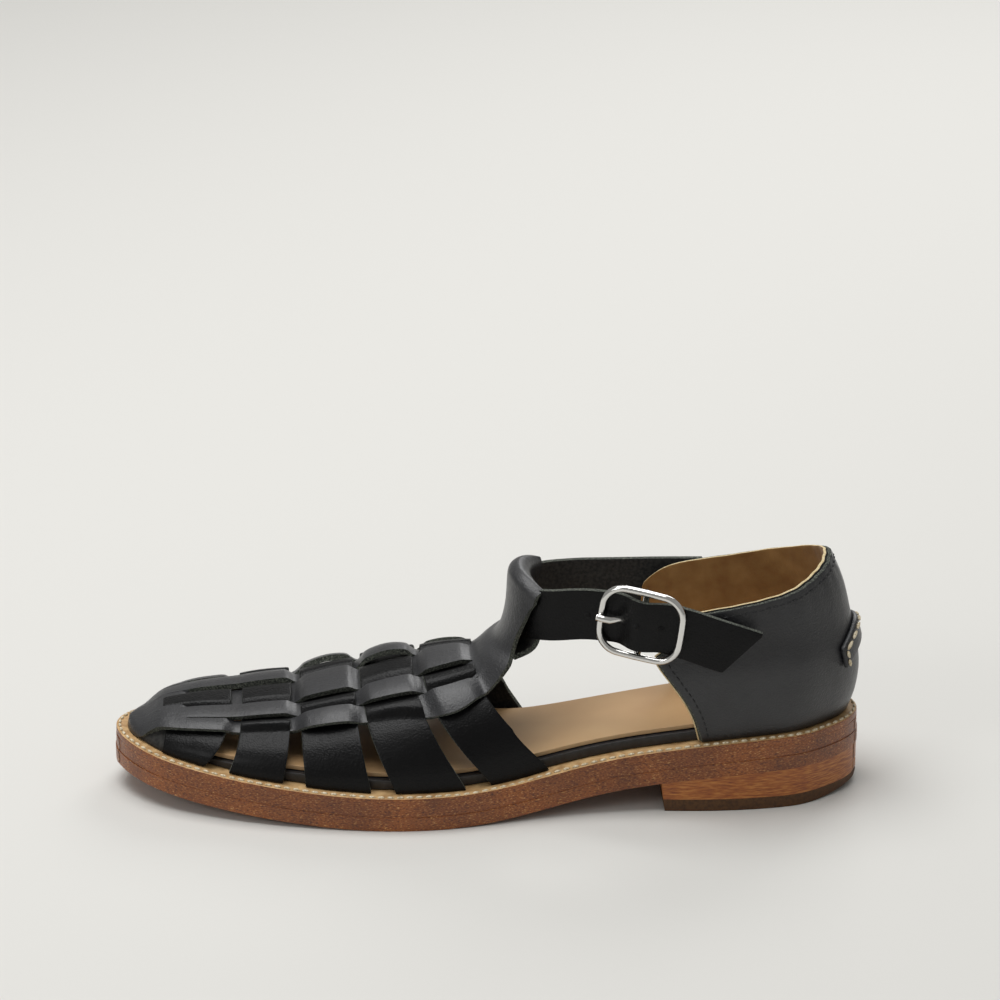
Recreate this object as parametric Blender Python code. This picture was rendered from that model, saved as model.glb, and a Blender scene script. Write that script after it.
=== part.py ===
"""Fisherman sandal, left shoe, as an assembly of named pieces.

Metres, +Z up. The toe points to -X, the outer (lateral) side to -Y.
The origin is at the bottom centre of the shoe's box.
"""
import math

import bmesh
import bpy
import numpy as np
from mathutils import Matrix, Vector

# Sole
LENGTH = 0.270
BALL_WIDTH = 0.092
TOE_SPRING = 0.0092
HEEL_RISE = 0.0152
OUTSOLE_THICK = 0.0046
MIDSOLE_THICK = 0.0044
WELT_THICK = 0.0029
WELT_RING = 0.018
MIDSOLE_STEP = 0.0003
GAP = 0.0003

# Heel
BREAST_SHARE = 0.725
BREAST_LEAN = 0.0018
TOP_LIFT_THICK = 0.0042
LIFT_THICK = 0.0034
HEEL_STEP = 0.0004
HEEL_WEAR = 0.0028
HEEL_WEAR_LENGTH = 0.020

# Footbed and sock
WELT_MARGIN = 0.0042
FOOTBED_THICK = 0.0036
FOOTBED_MARGIN = 0.0012
TOE_MARGIN = 0.0050
TOE_REACH = 0.20
SOCK_THICK = 0.0016
SOCK_MARGIN = 0.0024

# Upper
VAMP_WALL = 0.0024
STRIP_RAISE = 0.0022
INSTEP_HEIGHT = 0.0360
QUARTER_WALL = 0.0030
COUNTER_HEIGHT = 0.0605
TAB_HEIGHT = 0.0020
TAB_WIDTH = 0.0080
TAB_REACH = 0.31
TAB_APEX = 0.0315
TAB_DROP = 0.0070

# Ankle strap and buckle
STRAP_WIDTH = 0.0188
STRAP_WALL = 0.0022
ANKLE_HEIGHT = 0.0735
LOOP_RADIUS = 0.0230
BUCKLE_ALONG = 0.1985
FRAME_LENGTH = 0.0300
FRAME_HEIGHT = 0.0274
FRAME_CORNER = 0.0065
FRAME_WIRE = 0.0014
BAR_WIRE = 0.0012
BAR_SETBACK = 0.0026
PRONG_WIDTH = 0.0026
PRONG_WALL = 0.0011
BUCKLE_TAB_WIDTH = 0.0130
BUCKLE_TAB_WALL = 0.0011
BUCKLE_TAB_LEG = 0.0112
HOLE_FRONT = 0.0095
HOLE_BACK = 0.0015
HOLE_WIDTH = 0.0036
TIP_LENGTH = 0.0085
TIP_CUT = 0.92
STRAP_RISE = 0.0100

SOLE_THICK = OUTSOLE_THICK + MIDSOLE_THICK + WELT_THICK + 2 * GAP
FEATHER_INSET = WELT_MARGIN + VAMP_WALL
TURN_RADIUS = 0.36 * BALL_WIDTH

# Plan outline of the sole: share of LENGTH from the toe, then the outer and
# inner edge as shares of BALL_WIDTH from the long axis.
OUTLINE = (
    # share, lateral, medial
    (0.000, 0.075, 0.075),
    (0.020, -0.095, 0.225),
    (0.060, -0.218, 0.335),
    (0.110, -0.300, 0.415),
    (0.200, -0.400, 0.475),
    (0.300, -0.467, 0.482),
    (0.380, -0.495, 0.446),
    (0.450, -0.482, 0.391),
    (0.520, -0.435, 0.300),
    (0.600, -0.380, 0.240),
    (0.690, -0.355, 0.225),
    (0.800, -0.370, 0.246),
    (0.900, -0.342, 0.235),
    (0.960, -0.240, 0.158),
    (1.000, -0.043, -0.043),
)

SOLE_ROWS = 28
SOLE_COLUMNS = 3
TIP_SHARE = 0.006

# Height of the footbed along its length, as a share of FOOTBED_THICK.
FOOTBED_HEIGHT = (
    # share, height
    (0.00, 0.35),
    (0.06, 0.38),
    (0.18, 0.80),
    (0.28, 1.00),
    (1.00, 1.00),
)

# Underside of the sole: shares of TOE_SPRING and of HEEL_RISE.
UNDERSIDE = (
    # share, toe, heel
    (0.00, 1.00, 0.00),
    (0.05, 0.78, 0.00),
    (0.10, 0.57, 0.00),
    (0.20, 0.26, 0.00),
    (0.30, 0.05, 0.00),
    (0.36, 0.00, 0.00),
    (0.45, 0.00, 0.00),
    (0.52, 0.00, 0.08),
    (0.60, 0.00, 0.34),
    (0.68, 0.00, 0.60),
    (0.73, 0.00, 0.72),
    (0.80, 0.00, 0.88),
    (0.90, 0.00, 0.98),
    (1.00, 0.00, 1.00),
)

# Forepart of the last: height of the crest as a share of INSTEP_HEIGHT and
# its distance from the long axis as a share of BALL_WIDTH.
CREST = (
    # share, height, offset
    (0.000, 0.00, 0.075),
    (0.020, 0.09, 0.075),
    (0.050, 0.18, 0.075),
    (0.100, 0.28, 0.080),
    (0.170, 0.39, 0.085),
    (0.240, 0.50, 0.085),
    (0.320, 0.68, 0.070),
    (0.400, 0.84, 0.050),
    (0.480, 0.94, 0.030),
    (0.560, 1.02, 0.010),
)
SECTION_POWER = 0.86

# Cross straps, toe to instep: the front and back edge of each, as shares of
# LENGTH, at the crest and at the two feather edges.
CROSS_STRAPS = (
    # crest front, crest back, lateral front, lateral back, medial front, back
    (0.088, 0.157, 0.070, 0.120, 0.070, 0.110),
    (0.172, 0.237, 0.153, 0.224, 0.140, 0.210),
    (0.249, 0.321, 0.254, 0.340, 0.245, 0.330),
    (0.329, 0.399, 0.372, 0.465, 0.360, 0.450),
    (0.410, 0.478, 0.499, 0.585, 0.485, 0.565),
)
STRAP_SLANT = 2.2

# Rows of the toe before the first strap: share of LENGTH at crest and feather.
TOE_ROWS = (
    # crest, feather
    (0.010, 0.010),
    (0.020, 0.022),
    (0.050, 0.045),
)

# Edges of the five strips of the T-bar, as shares of the half girth from the
# crest, lateral to medial, at stations along LENGTH.
STRIP_EDGES = (
    # share, outer, 1-2, 2-3, 3-4, 4-5, inner
    (0.00, -0.80, -0.48, -0.16, 0.16, 0.48, 0.80),
    (0.05, -0.60, -0.40, -0.17, 0.10, 0.35, 0.60),
    (0.12, -0.50, -0.34, -0.18, 0.06, 0.28, 0.48),
    (0.24, -0.46, -0.32, -0.18, 0.04, 0.24, 0.44),
    (0.36, -0.47, -0.32, -0.17, 0.04, 0.24, 0.44),
    (0.42, -0.52, -0.32, -0.16, 0.05, 0.25, 0.45),
    (0.48, -0.42, -0.28, -0.12, 0.06, 0.25, 0.40),
)
STRIPS = 5

# Which lies on top where strap and strip cross: True where the strip does.
STRIP_OVER = (
    # strip 1 (lateral), 2, 3, 4, 5
    (True, True, False, True, True),
    (False, True, False, True, False),
    (True, False, True, False, True),
    (False, True, False, True, False),
    (True, False, True, False, True),
)
LINES_PER_CELL = 4
SIDE_LINES = 6
STEP_WIDTH = 0.0006

# T-bar above the weave, flesh side: along LENGTH from the middle, height over
# the floor as a share of ANKLE_HEIGHT, half width and cross radius as shares
# of LOOP_RADIUS.
TONGUE = (
    # along, height, half width, cross radius
    (0.0015, 0.690, 0.90, 1.50),
    (0.0150, 0.745, 0.68, 1.20),
    (0.0250, 0.815, 0.58, 1.05),
    (0.0310, 0.905, 0.62, 1.00),
    (0.0335, 0.990, 0.70, 1.00),
    (0.0345, 1.061, 0.74, 1.00),
    (0.0365, 1.100, 0.74, 0.97),
    (0.0415, 1.112, 0.74, 0.94),
    (0.0470, 1.100, 0.68, 0.93),
    (0.0512, 1.068, 0.60, 0.92),
    (0.0516, 0.990, 0.52, 0.92),
    (0.0514, 0.905, 0.50, 0.92),
    (0.0496, 0.800, 0.48, 0.92),
    (0.0420, 0.752, 0.47, 0.98),
    (0.0230, 0.715, 0.46, 1.10),
)

# Back part of the last: height as a share of COUNTER_HEIGHT, the back seam's
# lean as a share of LENGTH, the girth as a factor of the feather's, and the
# front edges of the quarter as shares of LENGTH.
HEEL_FORM = (
    # height, lean, girth, lateral front, medial front
    (0.00, 0.0000, 1.00, 0.788, 0.780),
    (0.13, 0.0100, 1.07, 0.781, 0.772),
    (0.28, 0.0140, 1.11, 0.767, 0.757),
    (0.42, 0.0110, 1.12, 0.748, 0.738),
    (0.58, 0.0025, 1.06, 0.729, 0.724),
    (0.67, -0.0020, 1.03, 0.758, 0.726),
    (0.80, -0.0090, 1.00, 0.762, 0.727),
    (1.00, -0.0275, 0.96, 0.766, 0.727),
)
TOPLINE = (
    # share round the heel, height as a share of COUNTER_HEIGHT
    (-1.00, 0.810),
    (-0.75, 0.835),
    (-0.50, 0.885),
    (-0.25, 0.955),
    (0.00, 1.000),
    (0.25, 0.955),
    (0.50, 0.890),
    (0.75, 0.850),
    (1.00, 0.835),
)
QUARTER_COLUMNS = 22
QUARTER_ROWS = 7
TAB_ROWS = 14
TAB_COLUMNS = 2

# Route of the ankle strap's centre line, seen from above and along its height:
# shares of LENGTH from the middle, of BALL_WIDTH from the long axis, and of
# ANKLE_HEIGHT.
STRAP_ROUTE = (
    # along, across, height
    (0.2950, 0.252, 0.900),
    (0.2350, 0.250, 0.905),
    (0.1700, 0.242, 0.910),
    (0.1250, 0.232, 0.915),
    (0.0760, 0.190, 0.922),
    (0.0510, 0.110, 0.928),
    (0.0422, 0.000, 0.931),
    (0.0510, -0.110, 0.943),
    (0.0780, -0.195, 0.966),
    (0.1250, -0.250, 0.996),
    (0.1650, -0.290, 0.998),
    (0.2000, -0.328, 0.986),
    (0.2500, -0.370, 0.950),
    (0.2950, -0.388, 0.895),
    (0.3430, -0.392, 0.832),
)
STRAP_STEPS = 46
SLOPE_STEP = 0.004

# Prong from the bar to its tip on the frame: shares of the way along, and of
# the rise from the bar's top to the frame's top.
PRONG_RUN = (
    # along, rise
    (0.32, 0.12),
    (0.56, 0.80),
    (0.83, 1.02),
    (1.02, 1.00),
)

# Legs of the buckle's tab: shares of BUCKLE_TAB_LEG from the bar, and how much
# of its height at the bar each still has over its flat run.
INNER_LEG = (
    # along, lift
    (1.00, 0.00),
    (0.80, 0.00),
    (0.53, 0.07),
    (0.27, 0.53),
)
OUTER_LEG = (
    # along, lift
    (0.15, 0.85),
    (0.28, 0.58),
    (0.41, 0.26),
    (0.56, 0.02),
    (0.67, 0.00),
    (1.00, 0.00),
)

MATERIALS = {
    # name: (red, green, blue, roughness, metallic)
    "black_leather": (0.020, 0.021, 0.023, 0.45, 0.0),
    "sole_leather": (0.270, 0.090, 0.035, 0.45, 0.0),
    "welt_leather": (0.480, 0.290, 0.130, 0.55, 0.0),
    "tan_leather": (0.500, 0.330, 0.170, 0.50, 0.0),
    "khaki_rubber": (0.190, 0.130, 0.060, 0.60, 0.0),
    "bright_nickel": (0.800, 0.800, 0.790, 0.12, 1.0),
}


def clear_scene():
    for thing in list(bpy.data.objects):
        bpy.data.objects.remove(thing, do_unlink=True)


def read(table, column, at, key=0, angle=False):
    """A column of a table at a share, as a smooth curve that never overshoots."""
    xs = [row[key] for row in table]
    ys = [row[column] for row in table]
    if angle:
        xs = [turn(x) for x in xs]
        at = turn(at)
    at = min(max(at, xs[0]), xs[-1])
    steps = [b - a for a, b in zip(xs, xs[1:])]
    rises = [(b - a) / step for a, b, step in zip(ys, ys[1:], steps)]
    slopes = [rises[0]]
    for left, right in zip(rises, rises[1:]):
        slopes.append(2 * left * right / (left + right) if left * right > 0 else 0.0)
    slopes.append(rises[-1])
    place = max(i for i in range(len(steps)) if xs[i] <= at or i == 0)
    step = steps[place]
    f = (at - xs[place]) / step
    return (
        ys[place] * (1 + 2 * f) * (1 - f) ** 2
        + slopes[place] * step * f * (1 - f) ** 2
        + ys[place + 1] * f * f * (3 - 2 * f)
        - slopes[place + 1] * step * f * f * (1 - f)
    )


def turn(share):
    """A share of the length as a share of a half turn, fine at both tips."""
    return math.acos(1 - 2 * min(max(share, 0.0), 1.0)) / math.pi


def outline_point(share, side, inset):
    """A point of the sole's plan outline, moved inwards by the inset."""
    lateral = BALL_WIDTH * read(OUTLINE, 1, share, angle=True)
    medial = BALL_WIDTH * read(OUTLINE, 2, share, angle=True)
    across = min(1.0, 0.5 * (medial - lateral) / TURN_RADIUS)
    along = math.sqrt(1 - across * across)
    x = share * LENGTH + inset * along * (1 if share < 0.5 else -1) - LENGTH / 2
    y = lateral + inset * across if side < 0 else medial - inset * across
    return x, y


def underside(x):
    """Height of the outsole's underside at a place along the shoe."""
    share = x / LENGTH + 0.5
    return TOE_SPRING * read(UNDERSIDE, 1, share) + HEEL_RISE * read(UNDERSIDE, 2, share)


def feather(x):
    """Height of the line where the upper meets the welt."""
    return underside(x) + SOLE_THICK + GAP


def footbed_top(x):
    return feather(x) + FOOTBED_THICK * read(FOOTBED_HEIGHT, 1, x / LENGTH + 0.5)


def material(name):
    red, green, blue, roughness, metallic = MATERIALS[name]
    found = bpy.data.materials.get(name)
    if found:
        return found
    made = bpy.data.materials.new(name)
    made.use_nodes = True
    shader = made.node_tree.nodes["Principled BSDF"]
    shader.inputs["Base Color"].default_value = (red, green, blue, 1.0)
    shader.inputs["Roughness"].default_value = roughness
    shader.inputs["Metallic"].default_value = metallic
    return made


def add_object(name, mesh, finish, collection):
    mesh.materials.clear()
    mesh.materials.append(material(finish))
    mesh.shade_smooth()
    mesh.set_sharp_from_angle(angle=math.radians(40))
    thing = bpy.data.objects.new(name, mesh)
    collection.objects.link(thing)
    return thing


def walled_grid(name, rows, columns, place, finish, collection, keep=None):
    """A grid of cells given two sides, each corner put in place by (row, column, side)."""
    bm = bmesh.new()
    bmesh.ops.create_grid(bm, x_segments=rows, y_segments=columns, size=0.5)
    for vert in bm.verts:
        vert.co = (round((vert.co.x + 0.5) * rows), round((vert.co.y + 0.5) * columns), 0)
    if keep:
        spare = []
        for face in bm.faces:
            centre = face.calc_center_median()
            if not keep(int(centre.x), int(centre.y)):
                spare.append(face)
        bmesh.ops.delete(bm, geom=spare, context="FACES")
    grown = bmesh.ops.extrude_face_region(bm, geom=bm.faces[:])
    for vert in grown["geom"]:
        if isinstance(vert, bmesh.types.BMVert):
            vert.co.z = 1
    for vert in bm.verts:
        vert.co = place(round(vert.co.x), round(vert.co.y), round(vert.co.z))
    point_outwards(bm)
    mesh = bpy.data.meshes.new(name)
    bm.to_mesh(mesh)
    bm.free()
    return add_object(name, mesh, finish, collection)


def point_outwards(bm):
    bmesh.ops.recalc_face_normals(bm, faces=bm.faces[:])
    if bm.calc_volume(signed=True) < 0:
        bmesh.ops.reverse_faces(bm, faces=bm.faces[:])


def plate(name, inset, bottom, top, finish, collection, first=0.0, rows=SOLE_ROWS, lean=0.0):
    """A flat piece of the sole's outline between two heights, from a share to the heel."""
    start = turn(first)

    def edge_point(share, across):
        return outline_point(share, across, inset(share) if callable(inset) else inset)

    def place(row, column, side):
        share = (1 - math.cos(math.pi * (start + (1 - start) * row / rows))) / 2
        across = 2 * column / SOLE_COLUMNS - 1
        tip = 1 - TIP_SHARE if row == rows else TIP_SHARE
        if row == rows or (row == 0 and first == 0.0):
            share = tip + (round(tip) - tip) * (1 - across * across)
            x, y = edge_point(share, across)
        else:
            x, lateral = edge_point(share, -1)
            x, medial = edge_point(share, 1)
            y = lateral + (medial - lateral) * (across + 1) / 2
        z = top(x) if side else bottom(x)
        if row == 0 and first > 0.0:
            x += lean * (1 - z / HEEL_RISE)
        return x, y, z

    return walled_grid(name, rows, SOLE_COLUMNS, place, finish, collection)


def footbed_inset(share):
    """Distance of the footbed's edge from the sole's, more under the low toe."""
    toe = max(0.0, 1 - share / TOE_REACH)
    return FEATHER_INSET + FOOTBED_MARGIN + TOE_MARGIN * toe * toe


def build_sole(parts):
    outsole_top = OUTSOLE_THICK
    midsole_bottom = outsole_top + GAP
    midsole_top = midsole_bottom + MIDSOLE_THICK
    plate("outsole", 0.0, underside, lambda x: underside(x) + outsole_top,
          "sole_leather", parts)
    plate("midsole", MIDSOLE_STEP, lambda x: underside(x) + midsole_bottom,
          lambda x: underside(x) + midsole_top, "sole_leather", parts)
    build_welt(parts)
    plate("footbed", footbed_inset, feather, footbed_top, "black_leather", parts)
    plate("insole", lambda share: footbed_inset(share) + SOCK_MARGIN,
          lambda x: footbed_top(x) + GAP,
          lambda x: footbed_top(x) + GAP + SOCK_THICK, "tan_leather", parts)


def build_welt(parts):
    """A ring round the top edge of the sole, closed at toe and heel."""
    bm = bmesh.new()
    for radius in (1, 2):
        bmesh.ops.create_circle(bm, segments=2 * SOLE_ROWS, radius=radius)
    bmesh.ops.bridge_loops(bm, edges=bm.edges[:])
    grown = bmesh.ops.extrude_face_region(bm, geom=bm.faces[:])
    for vert in grown["geom"]:
        if isinstance(vert, bmesh.types.BMVert):
            vert.co.z = 1
    for vert in bm.verts:
        lap = math.atan2(vert.co.y, vert.co.x) / (2 * math.pi)
        share = (1 + math.cos(2 * math.pi * lap)) / 2
        inset = MIDSOLE_STEP + (WELT_RING if vert.co.xy.length < 1.5 else 0.0)
        x, y = outline_point(share, lap, inset)
        height = SOLE_THICK - (0.0 if vert.co.z > 0.5 else WELT_THICK)
        vert.co = (x, y, underside(x) + height)
    point_outwards(bm)
    mesh = bpy.data.meshes.new("welt")
    bm.to_mesh(mesh)
    bm.free()
    add_object("welt", mesh, "welt_leather", parts)


def build_heel(parts):
    seam_1 = TOP_LIFT_THICK + GAP
    seam_2 = seam_1 + LIFT_THICK + GAP
    rows = SOLE_ROWS // 2

    def worn(x):
        back = max(0.0, x - LENGTH / 2 + HEEL_WEAR_LENGTH) / HEEL_WEAR_LENGTH
        return HEEL_WEAR * back ** 1.5

    plate("heel_lift_1", HEEL_STEP, lambda x: seam_2, lambda x: underside(x) - GAP,
          "sole_leather", parts, first=BREAST_SHARE, rows=rows, lean=BREAST_LEAN)
    plate("heel_lift_2", HEEL_STEP, lambda x: seam_1, lambda x: seam_2 - GAP,
          "sole_leather", parts, first=BREAST_SHARE, rows=rows, lean=BREAST_LEAN)
    plate("top_lift", HEEL_STEP, worn, lambda x: TOP_LIFT_THICK,
          "khaki_rubber", parts, first=BREAST_SHARE, rows=rows, lean=BREAST_LEAN)


def last_point(share, girth, offset):
    """A point of the last's forepart: girth -1 lateral, 0 crest, 1 medial feather."""
    inset = FEATHER_INSET - offset
    x, lateral = outline_point(share, -1, inset)
    x, medial = outline_point(share, 1, inset)
    middle = BALL_WIDTH * read(CREST, 2, share, angle=True)
    middle = min(max(middle, lateral), medial)
    height = INSTEP_HEIGHT * read(CREST, 1, share, angle=True) + offset
    angle = math.pi / 2 * abs(girth)
    reach = math.sin(angle) ** SECTION_POWER
    rise = max(0.0, math.cos(angle)) ** SECTION_POWER
    edge = lateral if girth < 0 else medial
    return x, middle + (edge - middle) * reach, feather(x) + height * rise


def vamp_rows():
    """Rows of the vamp: crest, lateral and medial share, the strap, its part across."""
    rows = []
    for crest, edge in TOE_ROWS:
        rows.append((crest, edge, edge, None, 0.0))
    for strap, (c0, c1, l0, l1, m0, m1) in enumerate(CROSS_STRAPS):
        for line in range(LINES_PER_CELL):
            part = line / (LINES_PER_CELL - 1)
            rows.append((
                c0 + (c1 - c0) * part,
                l0 + (l1 - l0) * part,
                m0 + (m1 - m0) * part,
                strap,
                part,
            ))
    return rows


def strip_line(share, column):
    """Girth of a column of the vamp, its strip and its part across the strip."""
    edges = [read(STRIP_EDGES, 1 + k, share) for k in range(STRIPS + 1)]
    inner = STRIPS * LINES_PER_CELL
    step = STEP_WIDTH / (0.5 * BALL_WIDTH)
    if column < SIDE_LINES:
        part = column / (SIDE_LINES - 1)
        return -1 + (edges[0] - step + 1) * part, None, part
    if column >= SIDE_LINES + inner:
        part = 1 - (column - SIDE_LINES - inner) / (SIDE_LINES - 1)
        return 1 - (1 - edges[-1] - step) * part, None, part
    strip, line = divmod(column - SIDE_LINES, LINES_PER_CELL)
    part = line / (LINES_PER_CELL - 1)
    low = edges[strip] + (step / 2 if strip else 0)
    high = edges[strip + 1] - (step / 2 if strip < STRIPS - 1 else 0)
    return low + (high - low) * part, strip, part


def raise_at(strap, strap_part, strip, strip_part):
    """How far the leather on top stands over the wall at a line of the weave."""
    if strip is None:
        if strap is None:
            return 0.0
        lifted = not STRIP_OVER[strap][0]
        return STRIP_RAISE * (strip_part ** 6 if lifted else 0.0)
    if strap is None:
        return STRIP_RAISE
    over = STRIP_OVER[strap][strip]
    if over:
        before = strap == 0 or STRIP_OVER[strap - 1][strip]
        after = strap == len(STRIP_OVER) - 1 or STRIP_OVER[strap + 1][strip]
        part = strap_part
    else:
        before = strip == 0 or not STRIP_OVER[strap][strip - 1]
        after = strip == STRIPS - 1 or not STRIP_OVER[strap][strip + 1]
        part = strip_part
    dips = (part < 0.1 and not before) or (part > 0.9 and not after)
    return 0.0 if dips else STRIP_RAISE


def tongue_frame(index):
    """Centre, outward direction and the across sizes of a row of the T-bar."""
    spots = [
        Vector((LENGTH * along, 0, ANKLE_HEIGHT * height))
        for along, height, wide, radius in TONGUE
    ]
    before = spots[max(index - 1, 0)]
    after = spots[min(index + 1, len(spots) - 1)]
    along = (after - before).normalized()
    out = Vector((-along.z, 0, along.x))
    return spots[index], out


def build_vamp(parts):
    rows = vamp_rows()
    weave_rows = len(rows)
    total_rows = weave_rows + len(TONGUE)
    total_columns = 2 * SIDE_LINES + STRIPS * LINES_PER_CELL
    last_column = total_columns - 1

    def place(row, column, side):
        if row >= weave_rows:
            return tongue_point(row - weave_rows, column, side, last_column)
        crest, lateral, medial, strap, strap_part = rows[row]
        girth, strip, strip_part = strip_line(crest, column)
        weight = abs(girth) ** STRAP_SLANT
        share = crest + ((lateral if girth < 0 else medial) - crest) * weight
        offset = 0.0
        if side:
            offset = VAMP_WALL + raise_at(strap, strap_part, strip, strip_part)
        if row == 0:
            share = TOE_ROWS[0][0] * girth * girth
            x, y = outline_point(share, girth, FEATHER_INSET - offset)
            return x, y, feather(x)
        return last_point(share, girth, offset)

    def keep(row, column):
        side_cell = column < SIDE_LINES or column >= last_column - SIDE_LINES
        if row >= weave_rows - 1:
            return not side_cell
        ahead = rows[row][3]
        behind = rows[row + 1][3]
        between = ahead is not None and ahead != behind
        return not (side_cell and between)

    walled_grid("vamp", total_rows - 1, last_column, place, "black_leather", parts, keep)


def tongue_point(index, column, side, last_column):
    inner = STRIPS * LINES_PER_CELL - 1
    part = (column - SIDE_LINES) / inner
    across = 2 * min(max(part, 0.0), 1.0) - 1
    centre, out = tongue_frame(index)
    wide = LOOP_RADIUS * TONGUE[index][2]
    radius = LOOP_RADIUS * TONGUE[index][3]
    y = wide * across
    lean = math.asin(min(0.95, abs(y) / radius)) * (1 if y > 0 else -1)
    back = radius * (1 - math.cos(lean))
    spot = centre + Vector((0, y, 0)) + Vector((1, 0, 0)) * back
    if side:
        spot += VAMP_WALL * (out * math.cos(lean) + Vector((0, 1, 0)) * math.sin(lean) * abs(out.x))
    return spot


def heel_point(round_share, height, offset):
    """A point of the quarter: -1 lateral front edge, 0 back seam, 1 medial front."""
    tall = height / COUNTER_HEIGHT
    front = read(HEEL_FORM, 3 if round_share < 0 else 4, tall)
    share = 1 - (1 - front) * (1 - math.cos(math.pi / 2 * abs(round_share)))
    inset = WELT_MARGIN + QUARTER_WALL - offset
    x, y = outline_point(share, round_share, inset)
    middle = BALL_WIDTH * 0.5 * (read(OUTLINE, 1, share, angle=True)
                                 + read(OUTLINE, 2, share, angle=True))
    girth = read(HEEL_FORM, 2, tall)
    lean = LENGTH * read(HEEL_FORM, 1, tall)
    reach = max(0.0, (share - front) / (1 - front))
    return x + lean * reach, middle + (y - middle) * girth, feather(x) + height


def build_quarter(parts):
    def place(row, column, side):
        around = 2 * column / QUARTER_COLUMNS - 1
        height = COUNTER_HEIGHT * read(TOPLINE, 1, around) * row / QUARTER_ROWS
        return heel_point(around, height, QUARTER_WALL if side else 0.0)

    walled_grid("quarter", QUARTER_ROWS, QUARTER_COLUMNS, place, "black_leather", parts)

    def tab_place(row, column, side):
        around = TAB_REACH * (2 * row / TAB_ROWS - 1)
        height = TAB_APEX - TAB_DROP * (around / TAB_REACH) ** 2
        height += TAB_WIDTH * (column / TAB_COLUMNS - 0.5)
        offset = QUARTER_WALL + GAP + (TAB_HEIGHT if side else 0.0)
        return heel_point(around, height, offset)

    walled_grid("heel_tab", TAB_ROWS, TAB_COLUMNS, tab_place, "black_leather", parts)


def strap_route(share):
    """A point of the ankle strap's route, on a smooth curve through its table."""
    lengths = [0.0]
    spots = [
        Vector((LENGTH * along, BALL_WIDTH * across, ANKLE_HEIGHT * height))
        for along, across, height in STRAP_ROUTE
    ]
    for a, b in zip(spots, spots[1:]):
        lengths.append(lengths[-1] + (b - a).length)
    knots = [length / lengths[-1] for length in lengths]
    return Vector([spline(knots, [spot[axis] for spot in spots], share) for axis in range(3)])


def spline(xs, ys, at):
    """Cubic through the points, with each slope from the two neighbours."""
    count = len(xs)
    slopes = []
    for i in range(count):
        low = max(i - 1, 0)
        high = min(i + 1, count - 1)
        slopes.append((ys[high] - ys[low]) / (xs[high] - xs[low]))
    place = max(i for i in range(count - 1) if xs[i] <= at or i == 0)
    step = xs[place + 1] - xs[place]
    f = (at - xs[place]) / step
    return (
        ys[place] * (1 + 2 * f) * (1 - f) ** 2
        + slopes[place] * step * f * (1 - f) ** 2
        + ys[place + 1] * f * f * (3 - 2 * f)
        - slopes[place + 1] * step * f * f * (1 - f)
    )


def strap_frame(share):
    """Point on the strap's route with its direction, outward side and height side."""
    spot = strap_route(share)
    ahead = strap_route(min(share + SLOPE_STEP, 1.0))
    ahead -= strap_route(max(share - SLOPE_STEP, 0.0))
    ahead.normalize()
    out = Vector((0, 0, 1)).cross(ahead).normalized()
    up = ahead.cross(out).normalized()
    return spot, ahead, -out, -up if up.z < 0 else up


def buckle_share():
    """Share of the strap's route at the buckle's centre bar."""
    shares = [i / 400 for i in range(200, 400)]
    return min(shares, key=lambda s: abs(strap_route(s).x - LENGTH * BUCKLE_ALONG))


def strap_bump():
    """How far the strap rises to pass over the centre bar and its tab."""
    bar = bar_height()
    return bar + BAR_WIRE + 2 * GAP + BUCKLE_TAB_WALL + STRAP_WALL / 2


def bar_height():
    """Height of the centre bar over the strap's route."""
    return STRAP_WALL / 2 + GAP + FRAME_WIRE - BAR_SETBACK


def build_strap(parts):
    centre = buckle_share()
    bump = strap_bump()
    half = FRAME_LENGTH / 2 - FRAME_WIRE
    total = sum((strap_route((i + 1) / 200) - strap_route(i / 200)).length for i in range(200))
    marks = sorted(
        [i / STRAP_STEPS for i in range(STRAP_STEPS + 1)
         if abs(i / STRAP_STEPS - centre) * total > half]
        + [centre + d / total for d in (-half, -HOLE_FRONT, -HOLE_FRONT / 2 - HOLE_BACK / 2,
                                        -HOLE_BACK, HOLE_BACK, HOLE_FRONT / 2, HOLE_FRONT, half)]
    )
    hole_rows = [i for i, mark in enumerate(marks)
                 if -HOLE_FRONT - 1e-6 <= (mark - centre) * total <= -HOLE_BACK + 1e-6]
    widths = (-0.5, -0.5 * HOLE_WIDTH / STRAP_WIDTH, 0.5 * HOLE_WIDTH / STRAP_WIDTH, 0.5)

    def place(row, column, side):
        spot, ahead, out, up = strap_frame(marks[row])
        distance = (marks[row] - centre) * total
        rise = 0.0
        if abs(distance) < STRAP_RISE:
            rise = bump * (1 + math.cos(math.pi * distance / STRAP_RISE)) / 2
        point = spot + out * (rise + STRAP_WALL * (side - 0.5))
        width = widths[column]
        cut = max(0.0, 1 - (1 - marks[row]) * total / TIP_LENGTH)
        width = 0.5 - (0.5 - width) * (1 - TIP_CUT * cut)
        return point + up * STRAP_WIDTH * width

    def keep(row, column):
        return not (column == 1 and row in hole_rows[:-1])

    walled_grid("ankle_strap", len(marks) - 1, 3, place, "black_leather", parts, keep)


def buckle_matrix():
    """The buckle's own axes: x along the strap, y outward, z up the strap."""
    spot, ahead, out, up = strap_frame(buckle_share())
    turn_matrix = Matrix((ahead, out, up)).transposed().to_4x4()
    return Matrix.Translation(spot) @ turn_matrix


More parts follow.
